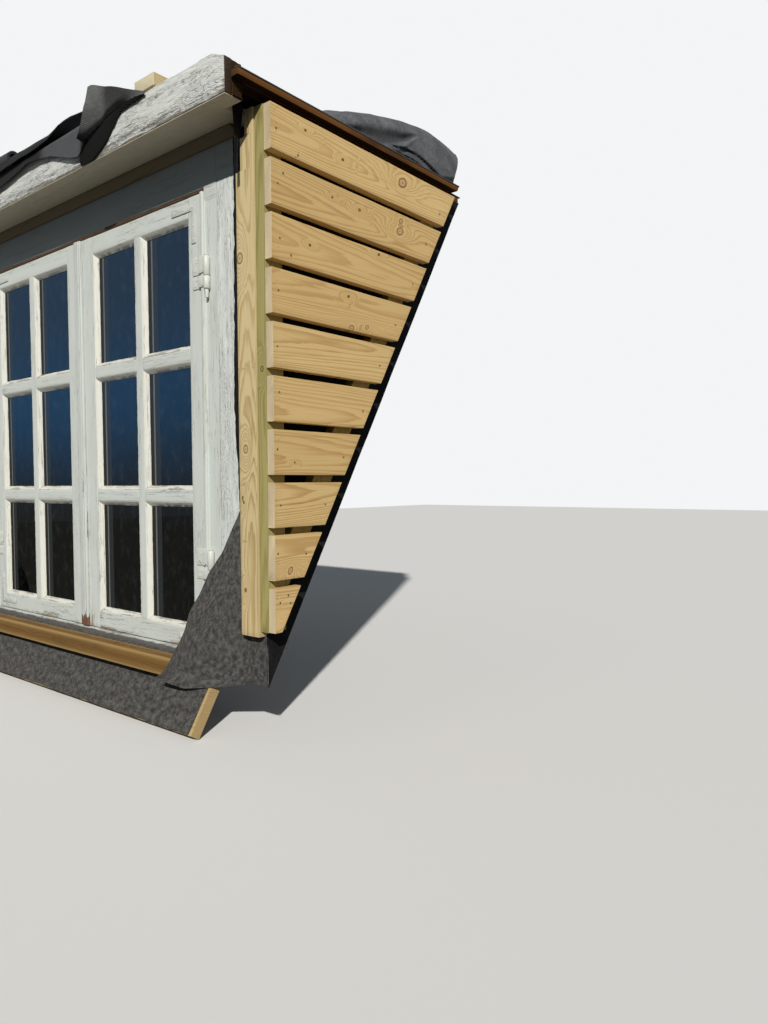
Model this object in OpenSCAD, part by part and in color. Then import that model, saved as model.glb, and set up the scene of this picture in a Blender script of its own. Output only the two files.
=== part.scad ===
// Flat-roofed dormer window under construction, seated on a steep pitched roof, millimetres.
// X runs along the window, Y into the house, Z up.
// The origin lies on the roof plane, on the underside of the front sole plate, half way along it.
// The roof plane is y = z / tan(roof_slope), and the dormer stands in front of it.

/* [Overall size] */
// Width over the outer faces of the two boarded cheeks
overall_width = 1555; // [1400:5:1800]
// Slope of the main roof that the dormer is seated on, in degrees
roof_slope = 59; // [57:0.5:61]
// Height of the lowest cheek board above the origin
cheek_foot_height = 180; // [170:1:200]
// Distance of the cheek boards' front ends behind the origin
front_setback = 15; // [12:1:18]

/* [Cheek boards] */
// Number of horizontal boards on each cheek
board_count = 10; // [9:1:12]
// Height of one cheek board
board_height = 95; // [90:1:100]
// Open joint between two cheek boards
board_gap = 14; // [8:1:16]
// Thickness of a cheek board
board_thickness = 22; // [18:1:26]
// Distance of the boards' rear ends in front of the roof plane, measured square to it
roof_batten_depth = 63; // [50:1:70]

/* [Cheek layers] */
// Thickness of the green battens behind the cheek boards
batten_thickness = 25; // [20:1:30]
// Width of a green batten
batten_width = 50; // [44:1:56]
// Distance of the sloping batten inside the boards' rear ends
batten_inset = 18; // [10:1:26]
// Thickness of the black membrane and of the grey strips
membrane_thickness = 1; // [0.8:0.1:1.5]
// Thickness of the cheek's sheathing
sheathing_thickness = 22; // [18:1:24]
// Depth of the studs and plates in the cheek, across the wall
stud_depth = 120; // [100:1:130]
// Thickness of studs and plates seen along the wall
stud_thickness = 45; // [38:1:50]
// Number of studs behind each corner post
stud_count = 3; // [2:1:3]
// Thickness of the lining inside
lining_thickness = 12; // [9:1:15]

/* [Front corner] */
// Width of the new pine lath at each front corner
corner_lath_width = 56; // [50:1:62]
// Thickness of the corner lath
corner_lath_thickness = 24; // [20:1:24]
// Length of the corner lath below the lowest cheek board
corner_lath_tail = 12; // [8:1:16]
// Width that is cut from the corner lath's inner edge at its top
lath_upper_cut = 30; // [24:1:34]
// Length of the wider cut at the corner lath's top
lath_upper_cut_length = 54; // [45:1:60]
// Width of the narrower cut below it
lath_lower_cut = 15; // [10:1:20]
// Length of both cuts together
lath_cut_length = 120; // [100:1:130]
// Width of the black membrane that is folded round the front corner
wrap_width = 64; // [58:1:70]
// Width of the old front casing beside the window
casing_width = 151; // [140:1:160]
// Thickness of the front casing and the frieze
casing_thickness = 22; // [18:1:26]
// Depth of the corner post
post_depth = 95; // [90:1:110]

/* [Window] */
// Width of the window frame's jambs and head, seen from the front
frame_width = 55; // [45:1:60]
// Depth of the window frame
frame_depth = 95; // [85:1:100]
// Thickness of a sash
sash_thickness = 42; // [36:1:46]
// Distance of the sash's top below the top of the cheek boards
sash_drop = 115; // [110:1:125]
// Distance of the sill's top below the lowest cheek board
sill_drop = 74; // [66:1:78]
// Visible width of a sash's outer stile
stile_width = 44; // [40:1:52]
// Width of a sash's meeting stile
meeting_stile_width = 65; // [56:1:72]
// Height of the sash's top rail
top_rail_height = 45; // [40:1:52]
// Height of the sash's bottom rail
bottom_rail_height = 44; // [38:1:54]
// Width of the upright glazing bar
upright_bar_width = 26; // [20:1:34]
// Height of the level glazing bars
level_bar_height = 27; // [22:1:34]
// Number of panes across a sash
panes_across = 2; // [1:1:3]
// Number of panes down a sash
panes_down = 3; // [2:1:4]
// Width of the puttied bevel round each pane
putty_width = 11; // [8:1:12]
// Thickness of the glass
glass_thickness = 4; // [3:1:5]
// Height of the sill
sill_height = 45; // [40:1:48]
// Width of the strip that covers the meeting stiles
meeting_strip_width = 32; // [26:1:36]
// Thickness of the strip that covers the meeting stiles
meeting_strip_thickness = 8; // [6:1:12]

/* [Cornice and roof] */
// Distance of the fascia's front face in front of the cheek boards' ends
fascia_projection = 95; // [85:1:110]
// Height of the fascia
fascia_height = 87; // [80:1:95]
// Length of the broken top corner at the right end of the fascia
fascia_break_length = 38; // [30:1:45]
// Height of the broken top corner at the right end of the fascia
fascia_break_height = 17; // [12:1:20]
// Thickness of the fascia
fascia_thickness = 20; // [16:1:24]
// Thickness of the brown board behind the fascia
backing_thickness = 25; // [20:1:28]
// Thickness of the soffit board
soffit_thickness = 19; // [16:1:21]
// Height of the bed mould under the soffit
bed_mould_height = 14; // [10:1:18]
// Depth of the bed mould
bed_mould_depth = 30; // [24:1:34]
// Thickness of the roof deck
deck_thickness = 14; // [12:1:18]
// Height of the roof beams
beam_height = 82; // [75:1:85]
// Gap between the cheek boards and the deck
deck_gap = 17; // [13:1:20]
// Distance of the soffit's underside below the top of the cheek boards
soffit_drop = 15; // [10:1:20]
// Distance of the soffit's ends inside the cheek boards' faces
soffit_end_inset = 75; // [70:1:85]
// Thickness of the felt on the deck
felt_thickness = 3; // [2:0.5:4]
// Radius of the bunched felt roll on the top of the fascia
felt_roll_radius = 23; // [18:1:28]
// Length of the felt's hem in front of the fascia, below its top
felt_hem_drop = 36; // [28:1:44]
// Distance of the felt's folded corner from the right cheek's face
felt_corner_inset = 287; // [270:1:300]
// Width of the folded corner of the felt
felt_corner_width = 261; // [240:1:280]
// Height of the folded corner above the fascia
felt_corner_rise = 66; // [56:1:76]
// Length of the folded corner's tip below the fascia's top
felt_corner_drop = 86; // [76:1:87]
// Width of the membrane tail at each end of the soffit
tail_width = 29; // [24:1:34]
// Length of the membrane tail
tail_length = 150; // [130:1:160]
// Distance of the tail in front of the cheek boards' ends
tail_setback = 34; // [30:1:38]
// Height of the loose grey membrane that lies in a hump on the deck's rear
hump_height = 130; // [110:1:140]
// Distance of the hump's front foot behind the cheek boards' front ends
hump_start = 120; // [100:5:200]
// Distance of the hump's ends inside the cheek boards' faces
hump_inset = 20; // [15:1:30]
// Width of the loose pine block on the cornice
block_width = 73; // [60:1:80]
// Height of the loose pine block
block_height = 29; // [24:1:36]
// Length of the loose pine block
block_length = 45; // [38:1:45]
// Number of roof beams
beam_count = 4; // [3:1:5]

/* [Sill foot] */
// Thickness of the front sole plate on the roof plane
front_plate_thickness = 25; // [20:1:27]
// Length of the front sole plate down the roof slope
front_plate_depth = 120; // [110:1:150]
// Height of the batten under the window
sill_batten_height = 43; // [38:1:44]
// Depth of the batten under the window
sill_batten_depth = 38; // [32:1:44]
// Distance of the batten's ends inside the casing's inner edge
sill_batten_inset = 86; // [70:1:110]
// Distance of the batten in front of the sill's nose
sill_batten_gap = 14; // [10:1:18]
// Distance of the batten's underside below the sill's top
sill_batten_drop = 53; // [50:1:56]
// Projection of the sill's nose in front of the casing
sill_projection = 18; // [14:1:20]
// Width of the loose grey flap at each front corner
flap_width = 226; // [210:1:250]
// Height of the flap, from its foot to its top corner
flap_height = 440; // [400:1:480]

/* [Hidden] */
// Round parts
$fn = 32;
// Small gap that keeps neighbouring pieces apart
clearance = 0.3;
// Overlap of a cutting body past the face it cuts
over = 1;
// Half of the overall width
half = overall_width / 2;
// Total height of the boarded cheek
cheek_height = board_count * (board_height + board_gap) - board_gap;
// Height of the top of the highest cheek board
z_top = cheek_foot_height + cheek_height;
// Height of the deck's underside, a little above the cheek boards
z_deck = z_top + deck_gap;
// Height of the soffit's underside
z_soffit = z_top - soffit_drop;
// Height of the felt's underside
z_felt = z_deck + deck_thickness;
// Height of the fascia's top
z_fascia = z_soffit + fascia_height;
// Height of the sash opening's top and of the sill's top
z_sash_top = z_top - sash_drop;
z_sill = cheek_foot_height - sill_drop;
// Height of the corner lath's foot
z_lath = cheek_foot_height - corner_lath_tail;
// Height of the window head's top, which is the underside of the beams
z_beam = z_deck - beam_height;
// Fall of the sill's top towards its nose
sill_fall = 8;
// Height of the sill batten's underside
z_sill_batten = z_sill - sill_batten_drop;
// Thickness of the grey membranes, which are thicker than the black one
grey_membrane = 1.5 * membrane_thickness;

// Faces of the cheek's layers, counted from the outside, as distances from the middle
x_batten = half - board_thickness;
x_membrane = x_batten - batten_thickness;
x_sheathing = x_membrane - membrane_thickness;
x_stud = x_sheathing - sheathing_thickness;
x_lining = x_stud - stud_depth;
x_room = x_lining - lining_thickness;
// Inner edge of the casing, which is the outer edge of the window frame
x_frame = x_sheathing + membrane_thickness - casing_width;
// Inner edge of the jambs, where the sashes close
x_sash = x_frame - frame_width;
// Inner edge of the corner lath
x_lath = x_membrane - corner_lath_width;
// End of the batten under the window
x_batten_end = x_frame - sill_batten_inset;

// Distance of the corner lath's face in front of the cheek boards' ends
lath_proud = 5;
// Distance of the window frame's face behind the casing's face
frame_setback = 2;
// Width and projection of the bead along each jamb
bead_width = 12;
bead_proud = 5;
// Front faces of the layers at the front corner
y_boards = front_setback;
y_lath = y_boards - lath_proud;
y_wrap = y_lath + corner_lath_thickness;
y_casing = y_wrap + membrane_thickness;
y_post = y_casing + casing_thickness;
y_post_back = y_post + post_depth;
// Projection of the stop that the sashes close against
sash_stop = 12;
// Window frame and sash
y_frame = y_casing + frame_setback;
y_frame_back = y_frame + frame_depth;
y_sash = y_casing;
y_sash_back = y_sash + sash_thickness;
// Front face of the sill's nose
y_sill = y_casing - sill_projection;
// Rear and front face of the batten under the window
y_batten_back = y_sill - sill_batten_gap;
y_batten = y_batten_back - sill_batten_depth;
// Cornice
y_fascia = y_boards - fascia_projection;
y_backing = y_fascia + fascia_thickness;
y_deck = y_backing + backing_thickness;
// Front ends of the deck's edges, beside the ends of the cornice
y_horn = y_backing - 0.3 * fascia_thickness;

// Point on the roof plane at height z
function on_roof(z) = z / tan(roof_slope);
// Point at distance d outside the roof plane, at height z
function off_roof(z, d) = on_roof(z) - d / sin(roof_slope);
// Height at which the line at distance d outside the roof plane crosses depth y
function roof_height(y, d = 0) = (y + d / sin(roof_slope)) * tan(roof_slope);
// Point that lies a along the slope and d outside the roof plane
function slope_point(a, d) = [
    a * cos(roof_slope) - d * sin(roof_slope),
    a * sin(roof_slope) + d * cos(roof_slope)
];

pine = [0.86, 0.72, 0.48];
pine_green = [0.62, 0.66, 0.42];
old_wood = [0.36, 0.26, 0.18];
old_paint = [0.88, 0.88, 0.84];
black_felt = [0.09, 0.09, 0.10];
grey_felt = [0.42, 0.44, 0.46];
steel = [0.75, 0.75, 0.72];
glass = [0.15, 0.20, 0.28, 0.5];

// Extrudes a side view, given as y and z, along X from x1 to x2
module side_view(x1, x2) {
    translate([x1, 0, 0])
        rotate([90, 0, 90])
            linear_extrude(x2 - x1)
                children();
}

// Extrudes a front view, given as x and z, along Y from y1 to y2
module front_view(y1, y2) {
    translate([0, y2, 0])
        rotate([90, 0, 0])
            linear_extrude(y2 - y1)
                children();
}

// Box given by its low and high corner
module box(low, high) {
    translate(low)
        cube(high - low);
}

// Draws its children on the right side, or mirrored on the left
module on_side(right) {
    if (right) children();
    else mirror([1, 0, 0]) children();
}

// Draws its children on both sides
module both_sides() {
    children();
    mirror([1, 0, 0]) children();
}

// Boards of one cheek, each cut along the line of the roof battens
module cheek_boards(right) {
    color(pine)
        on_side(right)
            for (i = [0 : board_count - 1]) {
                z2 = z_top - i * (board_height + board_gap);
                z1 = z2 - board_height;
                side_view(x_batten, half)
                    polygon([
                        [y_boards, z1],
                        [off_roof(z1, roof_batten_depth), z1],
                        [off_roof(z2, roof_batten_depth), z2],
                        [y_boards, z2]
                    ]);
            }
}

// Upright green batten at each front corner, whose edge shows beside the corner lath
module corner_battens() {
    color(pine_green)
        both_sides()
            box([x_membrane, y_boards, cheek_foot_height], [x_batten, y_boards + batten_width, z_top]);
}

// Green batten along the roof line of each cheek
module slope_battens() {
    along = batten_width / sin(roof_slope);
    inset = roof_batten_depth;
    y_end = y_boards + batten_width + over;
    low = y_end + batten_inset;
    color(pine_green)
        both_sides()
            side_view(x_membrane, x_batten)
                polygon([
                    [y_end, roof_height(low, inset)],
                    [y_end, roof_height(low + along, inset)],
                    [off_roof(z_top, inset) - batten_inset - along, z_top],
                    [off_roof(z_top, inset) - batten_inset, z_top]
                ]);
}

// Black membrane over each cheek, folded round the front corner
module cheek_membranes() {
    color(black_felt)
        both_sides() {
            side_view(x_sheathing, x_membrane)
                polygon([
                    [y_wrap, roof_height(y_wrap)],
                    [on_roof(z_deck), z_deck],
                    [y_casing, z_deck],
                    [y_casing, z_soffit],
                    [y_wrap, z_soffit]
                ]);
            box(
                [x_sheathing - wrap_width, y_wrap, roof_height(y_casing)],
                [x_membrane, y_casing, z_soffit]
            );
        }
}

// Sheathing of each cheek, from the casing to the roof plane
module cheek_sheathing() {
    color(pine)
        both_sides()
            side_view(x_stud, x_sheathing)
                polygon([
                    [y_post, roof_height(y_post)],
                    [on_roof(z_deck), z_deck],
                    [y_post, z_deck]
                ]);
}

// Post behind each casing, standing on the sole plate
module corner_posts() {
    color(pine)
        both_sides()
            side_view(x_frame, x_stud)
                polygon([
                    [y_post, roof_height(y_post, stud_thickness)],
                    [y_post_back, roof_height(y_post_back, stud_thickness)],
                    [y_post_back, z_beam],
                    [y_post, z_beam]
                ]);
}

// Studs between the corner post and the roof, from the sole plate to the top plate
module cheek_studs() {
    z_plate = z_deck - stud_thickness;
    run = off_roof(z_plate, stud_thickness) - y_post_back;
    color(pine)
        both_sides()
            for (i = [1 : stud_count]) {
                y1 = y_post_back + run * i / (stud_count + 1) - stud_thickness / 2;
                y2 = y1 + stud_thickness;
                side_view(x_lining, x_stud)
                    polygon([
                        [y1, roof_height(y1, stud_thickness)],
                        [y2, roof_height(y2, stud_thickness)],
                        [y2, z_plate],
                        [y1, z_plate]
                    ]);
            }
}

// Level plate on top of each cheek's studs
module top_plates() {
    z_plate = z_deck - stud_thickness;
    color(pine)
        both_sides()
            side_view(x_lining, x_stud)
                polygon([
                    [y_post_back, z_plate],
                    [on_roof(z_plate), z_plate],
                    [on_roof(z_deck), z_deck],
                    [y_post_back, z_deck]
                ]);
}

// Plate under each cheek, lying on the roof plane
module sole_plates() {
    z_plate = z_deck - stud_thickness;
    color(pine)
        both_sides()
            side_view(x_lining, x_stud)
                polygon([
                    [y_post, roof_height(y_post)],
                    [on_roof(z_plate), z_plate],
                    [off_roof(z_plate, stud_thickness), z_plate],
                    [y_post, roof_height(y_post, stud_thickness)]
                ]);
}

// Lining on the room side of one cheek
module cheek_lining(right) {
    color(pine)
        on_side(right)
            side_view(x_room, x_lining)
                polygon([
                    [y_post_back, roof_height(y_post_back)],
                    [on_roof(z_beam), z_beam],
                    [y_post_back, z_beam]
                ]);
}

// Beam over the window, on the two corner posts
module header_beam() {
    color(pine)
        box([-x_stud, y_post, z_beam], [x_stud, y_post_back, z_deck]);
}

// Roof beams from the header to the ledger
module roof_beams() {
    step = 2 * x_lining / (beam_count + 1);
    color(pine)
        for (i = [1 : beam_count]) {
            x = i * step - x_lining;
            side_view(x - stud_thickness / 2, x + stud_thickness / 2)
                polygon([
                    [y_post_back, z_beam],
                    [off_roof(z_beam, stud_thickness), z_beam],
                    [off_roof(z_deck, stud_thickness), z_deck],
                    [y_post_back, z_deck]
                ]);
        }
}

// Ledger on the roof plane, which carries the rear ends of the roof beams
module roof_ledger() {
    rise = stud_thickness * cos(roof_slope);
    color(pine)
        side_view(-x_lining, x_lining)
            polygon([
                [off_roof(z_deck, stud_thickness), z_deck],
                [on_roof(z_deck - rise), z_deck - rise],
                [on_roof(z_beam), z_beam],
                [off_roof(z_beam + rise, stud_thickness), z_beam + rise]
            ]);
}

// Flat layer of the roof between two heights, cut on the roof plane, and on the battens past the cheeks
module roof_layer(z1, z2) {
    side_view(-x_membrane, x_membrane)
        polygon([
            [y_deck, z1],
            [on_roof(z1), z1],
            [on_roof(z2), z2],
            [y_deck, z2]
        ]);
    side_view(-half, half)
        polygon([
            [y_deck, z1],
            [off_roof(z1, roof_batten_depth), z1],
            [off_roof(z2, roof_batten_depth), z2],
            [y_deck, z2]
        ]);
    both_sides()
        box([x_batten, y_horn, z1], [half, y_deck + over, z2]);
}

// Boarded deck of the flat roof, whose brown edge shows above each cheek
module roof_deck() {
    color(old_wood)
        roof_layer(z_deck, z_felt);
}

// Lining under the roof beams, inside
module ceiling_lining() {
    z_low = z_beam - lining_thickness;
    color(pine)
        side_view(-x_room, x_room)
            polygon([
                [y_post_back, z_low],
                [on_roof(z_low), z_low],
                [on_roof(z_beam), z_beam],
                [y_post_back, z_beam]
            ]);
}

// Felt on the deck, drawn over the fascia on the left, with a hem, a roll and a folded corner that hangs down
module roof_felt() {
    t = felt_thickness;
    y_back = y_deck + t;
    x_left = -x_batten;
    x_corner = half - felt_corner_inset;
    w = felt_corner_width;
    z_over = z_fascia + t;
    roll_length = x_corner - w - x_left;
    roll_setback = 0.35 * felt_roll_radius;
    color(black_felt) {
        roof_layer(z_felt, z_felt + t);
        side_view(x_left, x_corner)
            polygon([
                [y_fascia - t, z_fascia],
                [y_deck, z_fascia],
                [y_deck, z_felt],
                [y_back, z_felt],
                [y_back, z_over],
                [y_fascia - t, z_over]
            ]);
        box([x_left, y_fascia - t, z_fascia - felt_hem_drop], [x_left + roll_length, y_fascia, z_over]);
        translate([x_left, y_fascia + roll_setback, z_fascia + t / 2 + felt_roll_radius])
            rotate([0, 90, 0])
                cylinder(r = felt_roll_radius, h = roll_length);
        front_view(y_fascia - t, y_fascia)
            polygon([
                [x_corner, z_over],
                [x_corner - 0.34 * w, z_fascia],
                [x_corner - 0.97 * w, z_fascia - felt_corner_drop],
                [x_corner - w, z_fascia - 0.9 * felt_corner_drop],
                [x_corner - 0.8 * w, z_fascia + 0.4 * felt_corner_rise],
                [x_corner - 0.75 * w, z_fascia + felt_corner_rise]
            ]);
    }
}

// Points of the hump's back, rising from its front foot and leaning on the roof battens behind
function hump_outline() = let(
    z0 = z_felt + felt_thickness,
    y0 = y_boards + hump_start,
    z_lean = z0 + 0.8 * hump_height,
    y_lean = off_roof(z_lean, roof_batten_depth),
    y_crest = y0 + 0.76 * (y_lean - y0),
    steps = 8
) concat(
    [for (i = [0 : steps]) [
        y0 + (y_crest - y0) * i / steps,
        z0 + hump_height * sin(90 * i / steps)
    ]],
    [for (i = [1 : steps]) [
        y_crest + (y_lean - y_crest) * i / steps,
        z_lean + 0.2 * hump_height * cos(90 * i / steps)
    ]],
    [[off_roof(z0, roof_batten_depth), z0]]
);

// Loose grey membrane in a hump on the rear of the deck, with its ends drawn down to the deck
module rear_membrane() {
    t = felt_thickness;
    x = half - hump_inset;
    color(grey_felt)
        difference() {
            side_view(-x, x)
                polygon(hump_outline());
            side_view(-x + t, x - t)
                translate([-1.5 * t, -t])
                    polygon(hump_outline());
        }
}

// Loose pine block that lies on the cornice beside the felt's folded corner
module pine_block() {
    on_felt = 0.55 * block_width;
    x1 = half - felt_corner_inset - on_felt;
    z = z_fascia + felt_thickness;
    color(pine)
        box([x1, y_fascia, z], [x1 + block_width, y_fascia + block_length, z + block_height]);
}

// Board along the cornice between two depths, with its top corner broken off at the right end
module cornice_board(y1, y2) {
    front_view(y1, y2)
        polygon([
            [-x_batten, z_soffit],
            [x_batten, z_soffit],
            [x_batten, z_fascia - fascia_break_height],
            [x_batten - fascia_break_length, z_fascia],
            [-x_batten, z_fascia]
        ]);
}

// White fascia along the front of the cornice
module front_fascia() {
    color(old_paint)
        cornice_board(y_fascia, y_backing);
}

// Brown board behind the fascia, whose ends show at the corners
module fascia_backing() {
    color(old_wood)
        cornice_board(y_backing, y_deck);
}

// Underside of the cornice, with the short ends of the old roof edge
module soffit_board() {
    x_end = half - soffit_end_inset;
    color(old_paint)
        box([-x_end, y_deck, z_soffit], [x_end, y_casing, z_soffit + soffit_thickness]);
}

// Moulding in the corner between soffit and frieze, bevelled along its front
module bed_mould() {
    x_end = x_sheathing - wrap_width;
    edge = 0.4 * bed_mould_height;
    y_front = y_casing - bed_mould_depth;
    z_low = z_soffit - bed_mould_height;
    color(old_paint)
        side_view(-x_end, x_end)
            polygon([
                [y_front, z_soffit],
                [y_front, z_soffit - edge],
                [y_casing - edge, z_low],
                [y_casing, z_low],
                [y_casing, z_soffit]
            ]);
}

// Board across the front above the sashes
module frieze_board() {
    color(old_paint)
        box([-x_sheathing, y_casing, z_sash_top], [x_sheathing, y_post, z_soffit + soffit_thickness]);
}

// Old casing beside the window, cut along the roof plane at its foot
module casing(right) {
    color(old_paint)
        on_side(right)
            side_view(x_frame, x_sheathing)
                polygon([
                    [y_casing, roof_height(y_casing)],
                    [y_post, roof_height(y_post)],
                    [y_post, z_sash_top],
                    [y_casing, z_sash_top]
                ]);
}

// Head of the window frame, with a stop behind the sashes
module frame_head() {
    color(old_paint) {
        box([-x_frame, y_post, z_sash_top], [x_frame, y_frame_back, z_beam]);
        box(
            [-x_sash + sash_stop, y_sash_back + over, z_sash_top - sash_stop],
            [x_sash - sash_stop, y_frame_back, z_sash_top + over]
        );
    }
}

// Jambs of the window frame, with a stop behind the sashes and a bead in front
module frame_jambs() {
    color(old_paint)
        both_sides()
            translate([0, 0, z_sill])
                linear_extrude(z_sash_top - z_sill)
                    polygon([
                        [x_sash, y_casing - bead_proud],
                        [x_sash + bead_width, y_casing - bead_proud],
                        [x_sash + bead_width, y_frame],
                        [x_frame, y_frame],
                        [x_frame, y_frame_back],
                        [x_sash - sash_stop, y_frame_back],
                        [x_sash - sash_stop, y_sash_back + over],
                        [x_sash, y_sash_back + over]
                    ]);
}

// Sill under the sashes, with a sloping top and a nose in front
module window_sill() {
    color(old_paint)
        side_view(-x_frame, x_frame)
            polygon([
                [y_sill, z_sill - sill_height],
                [y_frame_back, z_sill - sill_height],
                [y_frame_back, z_sill],
                [y_frame, z_sill],
                [y_sill, z_sill - sill_fall]
            ]);
}

// Board inside, behind the sill
module window_board() {
    thickness = 22;
    depth = 110;
    color(old_paint)
        box(
            [-x_room, y_frame_back, z_sill - thickness],
            [x_room, y_frame_back + depth, z_sill]
        );
}

// Opening for one pane, with its bevel towards the front
module pane_opening(x, z, w, h) {
    bevel = putty_width;
    box([x + bevel, y_sash - over, z + bevel], [x + w - bevel, y_sash_back + over, z + h - bevel]);
    intersection() {
        side_view(x - over, x + w + over)
            polygon([
                [y_sash - over, z - over],
                [y_sash - over, z + h + over],
                [y_sash + bevel, z + h - bevel],
                [y_sash + bevel, z + bevel]
            ]);
        translate([0, 0, z - over])
            linear_extrude(h + 2 * over)
                polygon([
                    [x - over, y_sash - over],
                    [x + w + over, y_sash - over],
                    [x + w - bevel, y_sash + bevel],
                    [x + bevel, y_sash + bevel]
                ]);
    }
}

// Outer size of a sash and the size of its pane openings
sash_gap = 1.5;
sash_w = x_sash - 2 * sash_gap;
sash_z1 = z_sill + sash_gap;
sash_h = z_sash_top - sash_gap - sash_z1;
stiles = stile_width + meeting_stile_width;
pane_w = (sash_w - stiles - (panes_across - 1) * upright_bar_width) / panes_across;
pane_h = (sash_h - top_rail_height - bottom_rail_height - (panes_down - 1) * level_bar_height) / panes_down;

// Calls its children's place for each pane of the sash
module each_pane() {
    for (i = [0 : panes_across - 1], j = [0 : panes_down - 1]) {
        $x = sash_gap + meeting_stile_width + i * (pane_w + upright_bar_width);
        $z = sash_z1 + bottom_rail_height + j * (pane_h + level_bar_height);
        children();
    }
}

// Groove behind the bevel that holds a pane
pane_groove = 5;
y_glass = y_sash + putty_width + 2;

// One sash with its glazing bars
module sash(right) {
    color(old_paint)
        on_side(right)
            difference() {
                box([sash_gap, y_sash, sash_z1], [sash_gap + sash_w, y_sash_back, sash_z1 + sash_h]);
                each_pane() {
                    pane_opening($x, $z, pane_w, pane_h);
                    box(
                        [
                            $x + putty_width - pane_groove,
                            y_glass - clearance,
                            $z + putty_width - pane_groove
                        ],
                        [
                            $x + pane_w - putty_width + pane_groove,
                            y_glass + glass_thickness + clearance,
                            $z + pane_h - putty_width + pane_groove
                        ]
                    );
                }
            }
}

// Glass of one sash
module panes(right) {
    edge = putty_width - pane_groove + clearance;
    color(glass)
        on_side(right)
            each_pane()
                box(
                    [$x + edge, y_glass, $z + edge - clearance],
                    [$x + pane_w - edge, y_glass + glass_thickness, $z + pane_h - edge]
                );
}

// Strip that covers the joint of the two sashes, fixed to the right one
module meeting_strip() {
    w = meeting_strip_width;
    color(old_paint)
        box(
            [-w / 2, y_sash - meeting_strip_thickness, sash_z1],
            [w / 2, y_sash, sash_z1 + sash_h]
        );
}

// Hinges between jamb and sash, two on each side, whose leaves cross the bead
module hinges() {
    leaf = 1.5;
    knuckle_r = 7.5;
    knuckle_height = 96;
    leaf_width = 30;
    leaf_height = 71;
    bead_gap = 6;
    from_end = 140;
    x = x_sash + bead_width + bead_gap + knuckle_r;
    y = y_frame - knuckle_r;
    y_bead = y_casing - bead_proud;
    color(steel)
        both_sides()
            for (z = [sash_z1 + from_end, sash_z1 + sash_h - from_end - knuckle_height]) {
                z1 = z + knuckle_height - leaf_height;
                z2 = z + knuckle_height;
                translate([x, y, z])
                    cylinder(r = knuckle_r, h = knuckle_height);
                box([x_sash - leaf_width, y_sash - leaf, z1], [x_sash - sash_gap, y_sash, z2]);
                box([x_sash - sash_gap - leaf, y_bead - leaf, z1], [x_sash - sash_gap, y_sash, z2]);
                box([x_sash - sash_gap - leaf, y_bead - leaf, z1], [x, y_bead, z2]);
            }
}

// Flat angle irons on the outer corners of the sashes
module corner_irons() {
    arm = 90;
    width = 16;
    thick = 2;
    inset = 16;
    x2 = sash_gap + sash_w - inset;
    z1 = sash_z1 + inset;
    z2 = sash_z1 + sash_h - inset;
    color(steel)
        both_sides() {
            front_view(y_sash - thick, y_sash)
                polygon([
                    [x2, z2], [x2 - arm, z2], [x2 - arm, z2 - width],
                    [x2 - width, z2 - width], [x2 - width, z2 - arm], [x2, z2 - arm]
                ]);
            front_view(y_sash - thick, y_sash)
                polygon([
                    [x2, z1], [x2 - arm, z1], [x2 - arm, z1 + width],
                    [x2 - width, z1 + width], [x2 - width, z1 + arm], [x2, z1 + arm]
                ]);
        }
}

// New pine lath at one front corner, stepped at its top inner edge
module corner_lath(right) {
    color(pine)
        on_side(right)
            front_view(y_lath, y_wrap)
                polygon([
                    [x_lath, z_lath],
                    [x_membrane, z_lath],
                    [x_membrane, z_top],
                    [x_lath + lath_upper_cut, z_top],
                    [x_lath + lath_upper_cut, z_top - lath_upper_cut_length],
                    [x_lath + lath_lower_cut, z_top - lath_upper_cut_length],
                    [x_lath + lath_lower_cut, z_top - lath_cut_length],
                    [x_lath, z_top - lath_cut_length]
                ]);
}

// Tail of black membrane that hangs at each end of the soffit, narrower towards its foot
module corner_felt() {
    x = half - soffit_end_inset;
    y = y_boards - tail_setback;
    t = 2 * membrane_thickness;
    z_mid = z_deck - 0.6 * tail_length;
    z_foot = z_deck - tail_length;
    color(black_felt)
        both_sides()
            side_view(x, x + t)
                polygon([
                    [y, z_deck],
                    [y + tail_width, z_deck],
                    [y + 0.92 * tail_width, z_mid],
                    [y + 0.55 * tail_width, z_foot],
                    [y + 0.28 * tail_width, z_foot],
                    [y + 0.14 * tail_width, z_mid]
                ]);
}

// Plate on the roof plane under the sill, which carries the front
module front_sole_plate() {
    z_high = z_sill_batten - grey_membrane;
    a_high = (z_high - front_plate_thickness * cos(roof_slope)) / sin(roof_slope);
    a_low = a_high - front_plate_depth;
    color(pine)
        side_view(-x_lining, x_lining)
            polygon([
                slope_point(a_low, 0),
                slope_point(a_high, 0),
                slope_point(a_high, front_plate_thickness),
                slope_point(a_low, front_plate_thickness)
            ]);
}

// Grey membrane from the sill's nose down behind the batten and over the front sole plate
module apron_membrane() {
    t = grey_membrane;
    z_high = z_sill_batten - t;
    a_high = (z_high - front_plate_thickness * cos(roof_slope)) / sin(roof_slope);
    a_low = a_high - front_plate_depth;
    corner = slope_point(a_high, front_plate_thickness);
    foot = slope_point(a_low, front_plate_thickness);
    foot_out = slope_point(a_low, front_plate_thickness + t);
    z_nose = z_sill - sill_fall - t;
    z_lip = z_sill_batten + sill_batten_height;
    color(grey_felt)
        side_view(-x_frame, x_frame)
            polygon([
                foot_out,
                foot,
                corner,
                [y_batten_back + t, z_high],
                [y_batten_back + t, z_lip - t],
                [y_sill, z_nose],
                [y_sill, z_nose + t],
                [y_batten_back, z_lip],
                [y_batten_back, z_sill_batten],
                [min(corner[0], y_batten_back) - t, z_sill_batten]
            ]);
}

// Batten in front of the sill
module sill_batten() {
    color(pine)
        box(
            [-x_batten_end, y_batten, z_sill_batten],
            [x_batten_end, y_batten_back, z_sill_batten + sill_batten_height]
        );
}

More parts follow.
